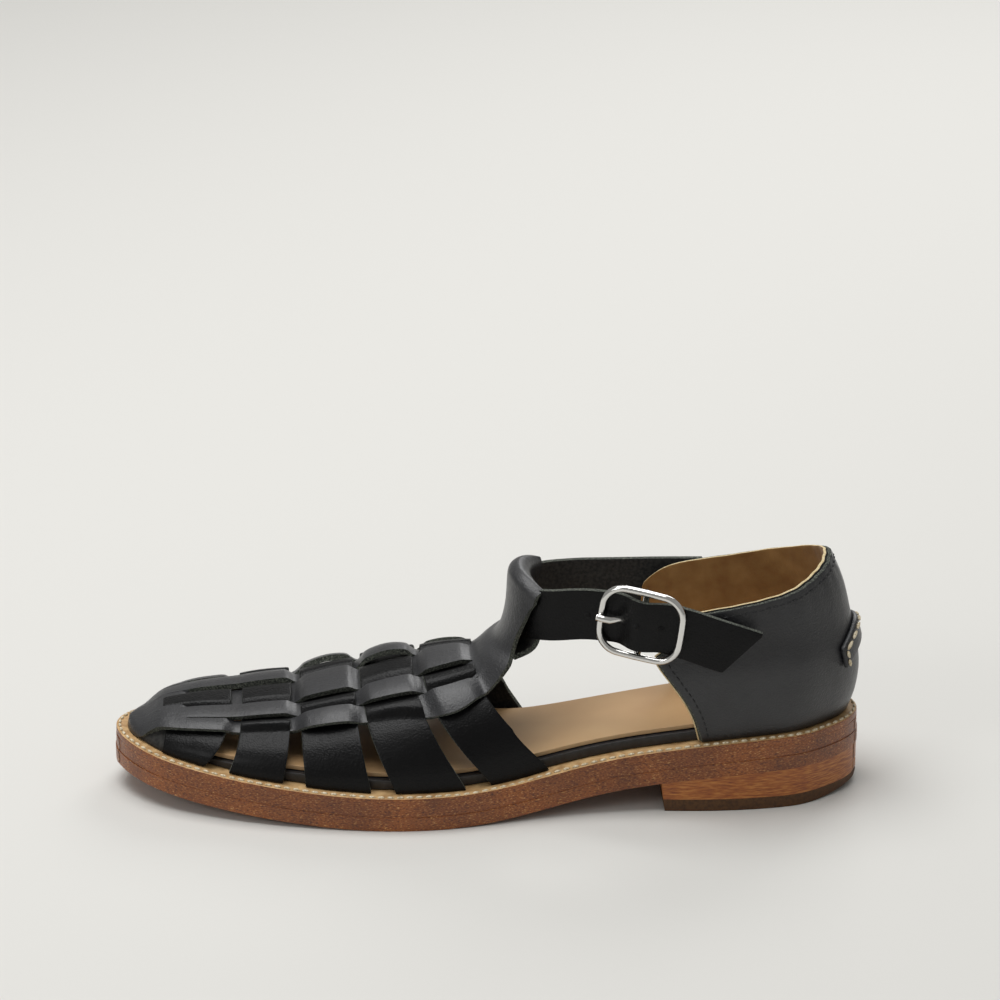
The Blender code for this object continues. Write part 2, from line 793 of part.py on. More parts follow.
def curve_mesh(name, points, depth, cyclic):
    """A round wire through the points as a closed mesh."""
    curve = bpy.data.curves.new(name, "CURVE")
    curve.dimensions = "3D"
    curve.bevel_depth = depth
    curve.bevel_resolution = 2
    curve.use_fill_caps = True
    line = curve.splines.new("POLY")
    line.points.add(len(points) - 1)
    for point, spot in zip(line.points, points):
        point.co = (*spot, 1)
    line.use_cyclic_u = cyclic
    guide = bpy.data.objects.new(name, curve)
    bpy.context.scene.collection.objects.link(guide)
    bpy.context.view_layer.update()
    seen = guide.evaluated_get(bpy.context.evaluated_depsgraph_get())
    mesh = bpy.data.meshes.new_from_object(seen)
    bpy.data.objects.remove(guide, do_unlink=True)
    bm = bmesh.new()
    bm.from_mesh(mesh)
    bmesh.ops.remove_doubles(bm, verts=bm.verts[:], dist=1e-6)
    point_outwards(bm)
    bm.to_mesh(mesh)
    bm.free()
    return mesh


def build_buckle(parts, cutters):
    half_x = FRAME_LENGTH / 2 - FRAME_WIRE
    half_z = FRAME_HEIGHT / 2 - FRAME_WIRE
    corner = FRAME_CORNER
    side_height = bar_height() + BAR_SETBACK
    points = []
    for cx, cz, start in ((1, 1, 0), (-1, 1, 90), (-1, -1, 180), (1, -1, 270)):
        for step in range(6):
            angle = math.radians(start + 90 * step / 5)
            x = cx * (half_x - corner) + corner * math.cos(angle)
            z = cz * (half_z - corner) + corner * math.sin(angle)
            points.append((x, side_height, z))
    points = add_middles(points, half_x - corner, side_height)
    frame = add_object("buckle_frame", curve_mesh("frame_wire", points, FRAME_WIRE, True),
                       "bright_nickel", parts)
    bar = bmesh.new()
    bmesh.ops.create_cone(bar, cap_ends=True, segments=12, radius1=BAR_WIRE,
                          radius2=BAR_WIRE, depth=2 * half_z)
    bmesh.ops.translate(bar, verts=bar.verts[:], vec=(0, bar_height(), 0))
    bar_mesh = bpy.data.meshes.new("centre_bar")
    bar.to_mesh(bar_mesh)
    bar.free()
    bar_object = add_object("centre_bar", bar_mesh, "bright_nickel", cutters)
    bar_object.hide_render = True
    bar_object.display_type = "WIRE"
    join = frame.modifiers.new("centre_bar", "BOOLEAN")
    join.operation = "UNION"
    join.solver = "EXACT"
    join.object = bar_object
    frame.matrix_world = buckle_matrix()
    bar_object.matrix_world = buckle_matrix()
    build_prong(parts)
    build_buckle_tab(parts)


def add_middles(points, straight, side_height):
    """Points on the long sides of the frame, which bow in to the centre bar."""
    full = []
    for spot, after in zip(points, points[1:] + points[:1]):
        full.append(spot)
        if abs(after[0] - spot[0]) > straight:
            for part in (0.15, 0.3, 0.5, 0.7, 0.85):
                x = spot[0] + (after[0] - spot[0]) * part
                bow = (1 + math.cos(math.pi * x / straight)) / 2
                full.append((x, side_height - BAR_SETBACK * bow, spot[2]))
    return full


def ribbon(name, path, width, wall, finish, parts, columns=1, keep=None):
    """A strip of leather or metal along a path in the buckle's own axes."""
    base = buckle_matrix()

    def place(row, column, side):
        spot = path[row]
        before = path[max(row - 1, 0)]
        after = path[min(row + 1, len(path) - 1)]
        along = Vector((after[0] - before[0], after[1] - before[1])).normalized()
        out = Vector((-along.y, along.x))
        x = spot[0] + out.x * wall * (side - 0.5)
        y = spot[1] + out.y * wall * (side - 0.5)
        z = width * (column / columns - 0.5)
        return base @ Vector((x, y, z))

    return walled_grid(name, len(path) - 1, columns, place, finish, parts, keep)


def build_prong(parts):
    bar = bar_height()
    radius = BAR_WIRE + GAP / 2 + PRONG_WALL / 2
    path = []
    for step in range(9):
        angle = math.radians(-20 - 250 * step / 8)
        path.append((radius * math.cos(angle), bar + radius * math.sin(angle)))
    side_top = bar + BAR_SETBACK + FRAME_WIRE + GAP + PRONG_WALL / 2
    for along, rise in PRONG_RUN:
        path.append((-FRAME_LENGTH / 2 * along, bar + radius + (side_top - bar - radius) * rise))
    ribbon("buckle_prong", path, PRONG_WIDTH, PRONG_WALL, "bright_nickel", parts)


def build_buckle_tab(parts):
    bar = bar_height()
    radius = BAR_WIRE + GAP + BUCKLE_TAB_WALL / 2
    under = -STRAP_WALL / 2 - 2 * GAP - BUCKLE_TAB_WALL / 2
    deep = under - BUCKLE_TAB_WALL - GAP
    path = []
    for along, lift in INNER_LEG:
        path.append((BUCKLE_TAB_LEG * along, deep + (bar - radius - deep) * lift))
    for step in range(7):
        angle = math.radians(-90 - 180 * step / 6)
        path.append((radius * math.cos(angle), bar + radius * math.sin(angle)))
    for along, lift in OUTER_LEG:
        path.append((BUCKLE_TAB_LEG * along, under + (bar + radius - under) * lift))
    slot = 0.5 * (PRONG_WIDTH + 2 * GAP) / BUCKLE_TAB_WIDTH
    levels = (-0.5, -slot, slot, 0.5)
    base = buckle_matrix()

    def place(row, column, side):
        spot = path[row]
        before = path[max(row - 1, 0)]
        after = path[min(row + 1, len(path) - 1)]
        along = Vector((after[0] - before[0], after[1] - before[1])).normalized()
        out = Vector((along.y, -along.x))
        x = spot[0] + out.x * BUCKLE_TAB_WALL * (side - 0.5)
        y = spot[1] + out.y * BUCKLE_TAB_WALL * (side - 0.5)
        return base @ Vector((x, y, BUCKLE_TAB_WIDTH * levels[column]))

    def keep(row, column):
        return not (column == 1 and 3 <= row <= len(path) - 4)

    walled_grid("buckle_tab", len(path) - 1, 3, place, "black_leather", parts, keep)


def centre_on_floor(parts):
    """Move everything so the box's bottom centre is the origin."""
    bpy.context.view_layer.update()
    graph = bpy.context.evaluated_depsgraph_get()
    low = np.full(3, np.inf)
    high = np.full(3, -np.inf)
    for thing in parts.objects:
        seen = thing.evaluated_get(graph)
        corners = np.array([seen.matrix_world @ v.co for v in seen.data.vertices])
        low = np.minimum(low, corners.min(axis=0))
        high = np.maximum(high, corners.max(axis=0))
    shift = Vector((-(low[0] + high[0]) / 2, -(low[1] + high[1]) / 2, -low[2]))
    return shift


def main():
    clear_scene()
    parts = bpy.data.collections.new("fisherman_sandal")
    cutters = bpy.data.collections.new("cutters")
    bpy.context.scene.collection.children.link(parts)
    bpy.context.scene.collection.children.link(cutters)
    build_sole(parts)
    build_heel(parts)
    build_vamp(parts)
    build_quarter(parts)
    build_strap(parts)
    build_buckle(parts, cutters)
    shift = Matrix.Translation(centre_on_floor(parts))
    for thing in list(parts.objects) + list(cutters.objects):
        thing.matrix_world = shift @ thing.matrix_world


main()
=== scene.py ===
"""Fisherman sandal, left shoe: the looks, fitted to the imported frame."""
import math

import bmesh
import bpy
from mathutils import Matrix, Vector


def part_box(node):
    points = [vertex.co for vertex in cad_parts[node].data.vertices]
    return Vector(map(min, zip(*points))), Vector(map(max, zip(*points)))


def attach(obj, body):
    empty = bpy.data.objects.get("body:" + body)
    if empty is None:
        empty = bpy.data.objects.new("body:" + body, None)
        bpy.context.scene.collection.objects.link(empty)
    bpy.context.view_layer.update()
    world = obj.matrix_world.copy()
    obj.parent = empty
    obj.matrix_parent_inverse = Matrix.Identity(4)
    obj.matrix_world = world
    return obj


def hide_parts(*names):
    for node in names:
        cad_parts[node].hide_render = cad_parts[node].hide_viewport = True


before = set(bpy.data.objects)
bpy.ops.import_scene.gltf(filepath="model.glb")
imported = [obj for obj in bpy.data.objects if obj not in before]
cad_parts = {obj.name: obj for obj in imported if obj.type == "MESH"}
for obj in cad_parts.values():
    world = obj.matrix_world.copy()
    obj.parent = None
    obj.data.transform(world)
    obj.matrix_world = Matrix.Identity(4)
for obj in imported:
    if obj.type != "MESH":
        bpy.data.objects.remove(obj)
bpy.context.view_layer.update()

# Camera, floor and light.
# A long lens from a little over the shoe's outer side, on a pale paper sweep,
# under one wide soft box and two weaker ones.
AZIMUTH = math.radians(-3)
ELEVATION = math.radians(21)
DISTANCE = 1.6
TARGET = Vector((0.0044, 0.0, 0.1085))
away = Vector((math.sin(AZIMUTH) * math.cos(ELEVATION),
               -math.cos(AZIMUTH) * math.cos(ELEVATION), math.sin(ELEVATION)))
lens = bpy.data.cameras.new("camera")
lens.lens = 161.6
lens.sensor_width = 36
camera = bpy.data.objects.new("camera", lens)
camera.location = TARGET + DISTANCE * away
camera.rotation_euler = (-away).to_track_quat("-Z", "Y").to_euler()
bpy.context.scene.collection.objects.link(camera)
bpy.context.scene.camera = camera
bpy.context.scene.view_settings.view_transform = "Standard"


def linear(code):
    """An sRGB hex colour as linear red, green, blue, alpha."""
    parts = [int(code[i:i + 2], 16) / 255 for i in (1, 3, 5)]
    return (*[p / 12.92 if p <= 0.04045 else ((p + 0.055) / 1.055) ** 2.4 for p in parts], 1.0)


def add(tree, kind, values=None, links=None, **settings):
    """A node with its settings, socket values and links."""
    made = tree.nodes.new(kind)
    for key, value in settings.items():
        setattr(made, key, value)
    for socket, value in (values or {}).items():
        made.inputs[socket].default_value = value
    for socket, source in (links or {}).items():
        tree.links.new(source, made.inputs[socket])
    return made


def start_material(name, **values):
    """A new material: its tree, shader and the object's own coordinates."""
    made = bpy.data.materials.new(name)
    made.use_nodes = True
    shader = made.node_tree.nodes["Principled BSDF"]
    for socket, value in values.items():
        shader.inputs[socket.replace("_", " ")].default_value = value
    place = add(made.node_tree, "ShaderNodeTexCoord")
    return made, made.node_tree, shader, place.outputs["Object"]


def ramp(tree, source, *stops):
    """Colours by a value: pairs of position and hex colour."""
    made = add(tree, "ShaderNodeValToRGB", links={"Fac": source})
    band = made.color_ramp
    while len(band.elements) < len(stops):
        band.elements.new(0.5)
    for element, (spot, code) in zip(band.elements, stops):
        element.position = spot
        element.color = linear(code)
    return made.outputs["Color"]


def colour(tree, shader, source, *stops):
    """The shader's colour from a pattern, by the ramp's stops."""
    tree.links.new(ramp(tree, source, *stops), shader.inputs["Base Color"])


def noise(tree, place, scale, detail):
    """Soft noise on the object's own metres: a scale of 1000 is about 1 mm."""
    return add(tree, "ShaderNodeTexNoise", values={"Scale": scale, "Detail": detail},
               links={"Vector": place}).outputs["Fac"]


def bump(tree, shader, source, strength, distance):
    """Relief of a pattern on the shader, over what it already has."""
    made = add(tree, "ShaderNodeBump", values={"Strength": strength, "Distance": distance},
               links={"Height": source})
    if shader.inputs["Normal"].is_linked:
        tree.links.new(shader.inputs["Normal"].links[0].from_socket, made.inputs["Normal"])
    tree.links.new(made.outputs["Normal"], shader.inputs["Normal"])


def finished_mesh(name, bm):
    """The mesh of a finished bmesh, which is freed."""
    mesh = bpy.data.meshes.new(name)
    bm.to_mesh(mesh)
    bm.free()
    return mesh


# Matt background paper: even and without gloss.
paper, tree, shader, place = start_material("background_paper", Roughness=0.95)
shader.inputs["Base Color"].default_value = linear("#d8d7d3")
bm = bmesh.new()
bmesh.ops.create_grid(bm, x_segments=1, y_segments=1, size=4.0)
mesh = finished_mesh("floor", bm)
mesh.materials.append(paper)
floor = bpy.data.objects.new("floor", mesh)
bpy.context.scene.collection.objects.link(floor)

world = bpy.data.worlds.new("studio")
world.use_nodes = True
world.node_tree.nodes["Background"].inputs["Color"].default_value = linear("#f4f3f0")
world.node_tree.nodes["Background"].inputs["Strength"].default_value = 0.34
bpy.context.scene.world = world
for name, spot, size, power in (("soft_box", (-0.35, 0.15, 1.6), 1.2, 21.0),
                                ("back_box", (0.5, 1.2, 0.9), 0.7, 6.0),
                                ("side_box", (-1.1, -0.9, 0.8), 0.5, 3.0)):
    light = bpy.data.lights.new(name, "AREA")
    light.energy = power
    light.size = size
    lamp = bpy.data.objects.new(name, light)
    lamp.location = spot
    lamp.rotation_euler = (-Vector(spot)).to_track_quat("-Z", "Y").to_euler()
    bpy.context.scene.collection.objects.link(lamp)

# Sole: outsole, middle sole, welt, lifts and top piece.
# Vegetable-tanned sole leather glued in layers, trimmed together and burnished
# with brown wax, which leaves dark and light flecks. The top piece is rubber.
LENGTH = 0.270
BALL_WIDTH = 0.092
TOE_SPRING = 0.0092
HEEL_RISE = 0.0152
SOLE_THICK = 0.0125
GAP = 0.0003
WELT_MARGIN = 0.0042
WALL = 0.0024
TURN_RADIUS = 0.36 * BALL_WIDTH
OUTLINE = (
    # share, lateral, medial
    (0.000, 0.075, 0.075),
    (0.020, -0.095, 0.225),
    (0.060, -0.218, 0.335),
    (0.110, -0.300, 0.415),
    (0.200, -0.400, 0.475),
    (0.300, -0.467, 0.482),
    (0.380, -0.495, 0.446),
    (0.450, -0.482, 0.391),
    (0.520, -0.435, 0.300),
    (0.600, -0.380, 0.240),
    (0.690, -0.355, 0.225),
    (0.800, -0.370, 0.246),
    (0.900, -0.342, 0.235),
    (0.960, -0.240, 0.158),
    (1.000, -0.043, -0.043),
)
UNDERSIDE = (
    # share, toe, heel
    (0.00, 1.00, 0.00),
    (0.05, 0.78, 0.00),
    (0.10, 0.57, 0.00),
    (0.20, 0.26, 0.00),
    (0.30, 0.05, 0.00),
    (0.36, 0.00, 0.00),
    (0.45, 0.00, 0.00),
    (0.52, 0.00, 0.08),
    (0.60, 0.00, 0.34),
    (0.68, 0.00, 0.60),
    (0.73, 0.00, 0.72),
    (0.80, 0.00, 0.88),
    (0.90, 0.00, 0.98),
    (1.00, 0.00, 1.00),
)
# From the sizes' own long axis to the middle of the shoe's box. The widest place
# of the lateral side lies at a share of the ball width from that axis.
LATERAL_REACH = 0.4948
sole_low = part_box("outsole")[0]
SHIFT = Vector((sole_low.x + LENGTH / 2, sole_low.y + LATERAL_REACH * BALL_WIDTH, 0))


def turn(share):
    """A share of the length as a share of a half turn, fine at both tips."""
    return math.acos(1 - 2 * min(max(share, 0.0), 1.0)) / math.pi


def read(table, column, at, angle=False):
    """A column of a table, as a smooth curve that never overshoots."""
    xs = [turn(row[0]) if angle else row[0] for row in table]
    ys = [row[column] for row in table]
    at = min(max(turn(at) if angle else at, xs[0]), xs[-1])
    steps = [b - a for a, b in zip(xs, xs[1:])]
    rises = [(b - a) / step for a, b, step in zip(ys, ys[1:], steps)]
    slopes = [rises[0]]
    for left, right in zip(rises, rises[1:]):
        slopes.append(2 * left * right / (left + right) if left * right > 0 else 0.0)
    slopes.append(rises[-1])
    spot = max(i for i in range(len(steps)) if xs[i] <= at or i == 0)
    step = steps[spot]
    f = (at - xs[spot]) / step
    return (ys[spot] * (1 + 2 * f) * (1 - f) ** 2 + slopes[spot] * step * f * (1 - f) ** 2
            + ys[spot + 1] * f * f * (3 - 2 * f) - slopes[spot + 1] * step * f * f * (1 - f))


def outline_point(share, side, inset):
    """A point of the sole's plan outline, moved inwards by the inset."""
    lateral = BALL_WIDTH * read(OUTLINE, 1, share, angle=True)
    medial = BALL_WIDTH * read(OUTLINE, 2, share, angle=True)
    across = min(1.0, 0.5 * (medial - lateral) / TURN_RADIUS)
    along = math.sqrt(1 - across * across)
    x = share * LENGTH + inset * along * (1 if share < 0.5 else -1) - LENGTH / 2
    return x, lateral + inset * across if side < 0 else medial - inset * across


def feather(x):
    """Height of the welt's top at a place along the shoe, with its gap."""
    share = x / LENGTH + 0.5
    return (TOE_SPRING * read(UNDERSIDE, 1, share) + HEEL_RISE * read(UNDERSIDE, 2, share)
            + SOLE_THICK + GAP)


BEVEL_FROM = math.radians(50)


def show(name, mesh, finishes, nodes=(), edge=0.0, levels=0):
    """A finished piece on the shoe: rounded, smoothed, hung under the root and hiding its nodes.
    """
    for finish in finishes:
        mesh.materials.append(finish)
    mesh.shade_smooth()
    piece = bpy.data.objects.new(name, mesh)
    bpy.context.scene.collection.objects.link(piece)
    if edge:
        rounding = piece.modifiers.new("rounding", "BEVEL")
        rounding.width = edge
        rounding.segments = 2
        rounding.limit_method = "ANGLE"
        rounding.angle_limit = BEVEL_FROM
    if levels:
        smooth = piece.modifiers.new("smooth", "SUBSURF")
        smooth.levels = levels
        smooth.render_levels = levels
    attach(piece, "root")
    if nodes:
        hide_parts(*nodes)
    return piece


WELD = 0.000002
FLAT_ANGLE = math.radians(30)
SKEW_ANGLE = math.radians(60)


def dress(node, finishes, edge=0.0004, levels=2, pick=None, close=0.0):
    """The node's own shape with rounded edges, a finish for each of its sides, and
    its top raised to close a glued seam."""
    bm = bmesh.new()
    bm.from_mesh(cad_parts[node].data)
    bmesh.ops.remove_doubles(bm, verts=bm.verts[:], dist=WELD)
    bmesh.ops.join_triangles(bm, faces=bm.faces[:], angle_face_threshold=FLAT_ANGLE,
                             angle_shape_threshold=SKEW_ANGLE)
    bm.normal_update()
    for vert in bm.verts:
        vert.co.z += close if vert.normal.z > 0.1 else 0.0
    for face in bm.faces:
        face.material_index = 1 if pick and pick(face.normal) else 0
    name = node + "_finished"
    return show(name, finished_mesh(name, bm), finishes, (node,), edge, levels)


# Burnished sole edge: warm brown wax on cut leather, a soft shine with flecks
# about 1 mm long, flattened along the layers.
sole_edge, tree, shader, place = start_material("burnished_sole_leather", Roughness=0.42,
                                                Coat_Weight=0.25, Coat_Roughness=0.3)
layers = add(tree, "ShaderNodeMapping", values={"Scale": (1.0, 1.0, 2.6)}, links={"Vector": place})
flecks = noise(tree, layers.outputs["Vector"], 1100, 3)
broad = noise(tree, place, 70, 2)
tones = ramp(tree, flecks,
             (0.33, "#4e2203"), (0.44, "#88460e"), (0.60, "#9c581a"), (0.74, "#d8a868"))
tint = ramp(tree, broad, (0.3, "#c9c2bb"), (0.7, "#ffffff"))
blend = add(tree, "ShaderNodeMix", data_type="RGBA", blend_type="MULTIPLY")
blend.inputs[0].default_value = 1.0
tree.links.new(tones, blend.inputs[6])
tree.links.new(tint, blend.inputs[7])
tree.links.new(blend.outputs[2], shader.inputs["Base Color"])
bump(tree, shader, flecks, 0.25, 0.0002)

# Heel lifts: the same leather, lighter, with its fibres in long thin streaks.
lift_edge, tree, shader, place = start_material("stacked_heel_leather", Roughness=0.45,
                                                Coat_Weight=0.25, Coat_Roughness=0.3)
layers = add(tree, "ShaderNodeMapping", values={"Scale": (1.0, 1.0, 9.0)}, links={"Vector": place})
streaks = noise(tree, layers.outputs["Vector"], 260, 4)
colour(tree, shader, streaks, (0.32, "#78380a"), (0.5, "#a25a1a"), (0.68, "#bc7a34"))
bump(tree, shader, streaks, 0.3, 0.0002)

# Welt top: undyed tan leather, dry and slightly uneven.
welt_top, tree, shader, place = start_material("natural_welt_leather", Roughness=0.6)
grain = noise(tree, place, 300, 4)
colour(tree, shader, grain, (0.35, "#a98355"), (0.65, "#cfab78"))
bump(tree, shader, grain, 0.3, 0.0002)

# Top piece: moulded khaki rubber, matt.
rubber, tree, shader, place = start_material("khaki_rubber", Roughness=0.65)
grit = noise(tree, place, 900, 2)
colour(tree, shader, grit, (0.35, "#43290d"), (0.65, "#583816"))
bump(tree, shader, grit, 0.2, 0.0001)

CUT_EDGE = 0.0001
RUBBER_EDGE = 0.0002
SEAM = 0.0006
dress("outsole", [sole_edge], edge=CUT_EDGE, close=SEAM)
dress("midsole", [sole_edge], edge=CUT_EDGE, close=SEAM)
dress("welt", [sole_edge, welt_top], pick=lambda n: n.z > 0.7)
dress("heel_lift_1", [lift_edge], edge=CUT_EDGE, close=SEAM)
dress("heel_lift_2", [lift_edge], edge=CUT_EDGE, close=SEAM)
dress("top_lift", [rubber], edge=RUBBER_EDGE, close=SEAM)

# Welt stitches: waxed linen, about 3.4 mm apart, drawn down into the welt.
thread, tree, shader, place = start_material("waxed_linen_thread", Roughness=0.7)
twist = noise(tree, place, 1500, 2)
colour(tree, shader, twist, (0.35, "#b3a07c"), (0.65, "#e6dcc4"))
bump(tree, shader, twist, 0.4, 0.0002)


STITCH_OUT = 0.3


def stitch(name, line, pitch, length, radius, finish):
    """Stitches along a line of (point, outward direction) pairs, as one mesh."""
    bm = bmesh.new()
    left = pitch / 2
    for (a, up), (b, _) in zip(line, line[1:]):
        span = (b - a).length
        while left < span:
            spot = a.lerp(b, left / span)
            ahead = (b - a).normalized()
            across = up.cross(ahead).normalized()
            axes = Matrix((ahead, across, ahead.cross(across))).transposed().to_4x4()
            size = Matrix.Diagonal((length / 2, radius, radius, 1))
            sunk = Matrix.Translation(spot + up * radius * STITCH_OUT)
            bmesh.ops.create_uvsphere(bm, u_segments=8, v_segments=6, radius=1,
                                      matrix=sunk @ axes @ size)
            left += pitch
        left -= span
    return show(name, finished_mesh(name, bm), [finish])


STITCH_INSET = 0.0017
WELT_STEPS = 240
WELT_PITCH = 0.0034
WELT_STITCH = 0.0026
WELT_THREAD = 0.00052
for side, name in ((-1, "welt_stitches_lateral"), (1, "welt_stitches_medial")):
    line = []
    for i in range(WELT_STEPS + 1):
        share = (1 - math.cos(math.pi * i / WELT_STEPS)) / 2
        x, y = outline_point(share, side, STITCH_INSET)
        line.append((Vector((x, y, feather(x) - GAP)) + SHIFT, Vector((0, 0, 1))))
    stitch(name, line, WELT_PITCH, WELT_STITCH, WELT_THREAD, thread)

# Footbed and sock: a black rand round the board, and a tan leather sock on it.
# The sock is smooth calf, rubbed a little darker where the foot sits.
black_rand, tree, shader, place = start_material("black_rand", Roughness=0.4)
grain = noise(tree, place, 500, 2)
colour(tree, shader, grain, (0.3, "#141416"), (0.7, "#26272a"))
sock, tree, shader, place = start_material("natural_calf_sock", Roughness=0.5, Coat_Weight=0.1,
                                           Coat_Roughness=0.4)
broad = noise(tree, place, 22, 3)
pores = add(tree, "ShaderNodeTexVoronoi", values={"Scale": 1300}, links={"Vector": place})
colour(tree, shader, broad, (0.3, "#a9845a"), (0.7, "#c2a074"))
bump(tree, shader, pores.outputs["Distance"], 0.12, 0.0001)
dress("footbed", [black_rand])
dress("insole", [sock])

# Woven front: the T-bar plate slit into five strips, and five cross straps.
# Smooth black calf about 2 mm thick, cut with raw edges, each strap passing
# over and under the strips as on a basket and lasted down to the welt.
INSTEP_HEIGHT = 0.0360
ANKLE_HEIGHT = 0.0735
LOOP_RADIUS = 0.0230
SECTION_POWER = 0.86
SLANT_POWER = 2.2
LEATHER = 0.0021
STEP = 0.0023
SLIT = 0.0005
FEATHER_INSET = WELT_MARGIN + WALL
CREST = (
    # share, height, offset
    (0.000, 0.00, 0.075),
    (0.020, 0.09, 0.075),
    (0.050, 0.18, 0.075),
    (0.100, 0.28, 0.080),
    (0.170, 0.39, 0.085),
    (0.240, 0.50, 0.085),
    (0.320, 0.68, 0.070),
    (0.400, 0.84, 0.050),
    (0.480, 0.94, 0.030),
    (0.560, 1.02, 0.010),
)
SLANT = (
    # crest share, lateral, medial
    (0.000, 0.000, 0.000),
    (0.020, 0.022, 0.022),
    (0.050, 0.045, 0.045),
    (0.088, 0.070, 0.070),
    (0.157, 0.120, 0.110),
    (0.172, 0.153, 0.140),
    (0.237, 0.224, 0.210),
    (0.249, 0.254, 0.245),
    (0.321, 0.340, 0.330),
    (0.329, 0.372, 0.360),
    (0.399, 0.465, 0.450),
    (0.410, 0.499, 0.485),
    (0.478, 0.585, 0.565),
)
CROSS_STRAPS = (
    # front, back along the crest
    (0.060, 0.157),
    (0.172, 0.237),
    (0.249, 0.321),
    (0.329, 0.399),
    (0.410, 0.478),
)
STRIP_EDGES = (
    # crest share, outer, 1-2, 2-3, 3-4, 4-5, inner
    (0.000, -1.00, -0.60, -0.18, 0.16, 0.58, 1.00),
    (0.012, -1.00, -0.58, -0.18, 0.15, 0.54, 1.00),
    (0.030, -0.66, -0.42, -0.18, 0.12, 0.40, 0.74),
    (0.055, -0.50, -0.34, -0.18, 0.08, 0.32, 0.56),
    (0.120, -0.49, -0.34, -0.18, 0.06, 0.28, 0.48),
    (0.240, -0.46, -0.32, -0.18, 0.04, 0.24, 0.44),
    (0.360, -0.47, -0.32, -0.17, 0.04, 0.24, 0.44),
    (0.420, -0.52, -0.32, -0.16, 0.05, 0.25, 0.45),
    (0.480, -0.42, -0.28, -0.12, 0.06, 0.25, 0.40),
)
STRIP_OVER = (
    # strip 1 (lateral) to 5: 1 where the strip lies on top
    (1, 1, 0, 1, 1),
    (0, 1, 0, 1, 0),
    (1, 0, 1, 0, 1),
    (0, 1, 0, 1, 0),
    (1, 0, 1, 0, 1),
)
PUFF = (
    # how far each strip arches over its strap, as a share of LEATHER
    (0.1, 0.1, 0.0, 0.1, 0.2),
    (0.0, 0.2, 0.0, 0.2, 0.0),
    (0.7, 0.0, 0.3, 0.0, 0.9),
    (0.0, 0.3, 0.0, 1.0, 0.0),
    (0.5, 0.0, 0.3, 0.0, 0.6),
)
TONGUE = (
    # along, height, half width, cross radius
    (0.0015, 0.690, 0.90, 1.50),
    (0.0150, 0.745, 0.68, 1.20),
    (0.0250, 0.815, 0.58, 1.05),
    (0.0310, 0.905, 0.62, 1.00),
    (0.0335, 0.990, 0.70, 1.00),
    (0.0345, 1.061, 0.74, 1.00),
    (0.0365, 1.100, 0.74, 0.97),
    (0.0415, 1.112, 0.74, 0.94),
    (0.0470, 1.100, 0.68, 0.93),
    (0.0512, 1.068, 0.60, 0.92),
    (0.0516, 0.990, 0.52, 0.92),
    (0.0514, 0.905, 0.50, 0.92),
    (0.0496, 0.800, 0.48, 0.92),
    (0.0420, 0.752, 0.47, 0.98),
    (0.0230, 0.715, 0.46, 1.10),
)


def ease(value):
    """A soft step from 0 to 1."""
    value = min(max(value, 0.0), 1.0)
    return value * value * (3 - 2 * value)


def last_point(crest, girth, offset):
    """A point on the last's forepart: crest share, girth -1 to 1, height over it."""
    edge = read(SLANT, 1 if girth < 0 else 2, crest)
    share = crest + (edge - crest) * abs(girth) ** SLANT_POWER
    inset = FEATHER_INSET - offset
    x, lateral = outline_point(share, -1, inset)
    x, medial = outline_point(share, 1, inset)
    middle = min(max(BALL_WIDTH * read(CREST, 2, share, angle=True), lateral), medial)
    height = INSTEP_HEIGHT * read(CREST, 1, share, angle=True) + offset
    angle = math.pi / 2 * abs(girth)
    reach = math.sin(angle) ** SECTION_POWER
    rise = max(0.0, math.cos(angle)) ** SECTION_POWER
    outer = lateral if girth < 0 else medial
    return Vector((x, middle + (outer - middle) * reach, feather(x) + height * rise)) + SHIFT


STRAP_EASE = 0.065
STRAP_LATE = 0.028
STRIP_EASE = 0.016
STRIP_LATE = 0.005
FIRST_DIP = 0.036
FIRST_EASE = 0.020


def strap_lift(strap, crest, girth):
    """How far a cross strap is lifted at a girth: 1 over the strips, 0 under."""
    edges = [read(STRIP_EDGES, 1 + k, crest) for k in range(6)]
    ups = [0.0] + [1.0 - over for over in STRIP_OVER[strap]] + [0.0]
    lift = ups[0]
    for k, edge in enumerate(edges):
        change = ups[k + 1] - ups[k]
        lift += change * ease((girth - edge - STRAP_LATE * change) / STRAP_EASE + 0.5)
    return lift


def strip_lift(strip, crest):
    """How far a strip is lifted along the crest, 1 over the straps and 0 under, and
    how far it arches there."""
    lift = 1.0
    arch = 0.0
    for strap, (front, back) in enumerate(CROSS_STRAPS):
        part = (crest - front) / (back - front)
        if strap:
            edge = (CROSS_STRAPS[strap - 1][1] + front) / 2
            change = STRIP_OVER[strap][strip] - STRIP_OVER[strap - 1][strip]
            lift += change * ease((crest - edge - STRIP_LATE * change) / STRIP_EASE + 0.5)
        elif not STRIP_OVER[0][strip]:
            lift -= ease((crest - front - FIRST_DIP) / FIRST_EASE + 0.5)
        if 0 < part < 1:
            arch = PUFF[strap][strip] * math.sin(math.pi * part) ** 0.8
    return lift, arch


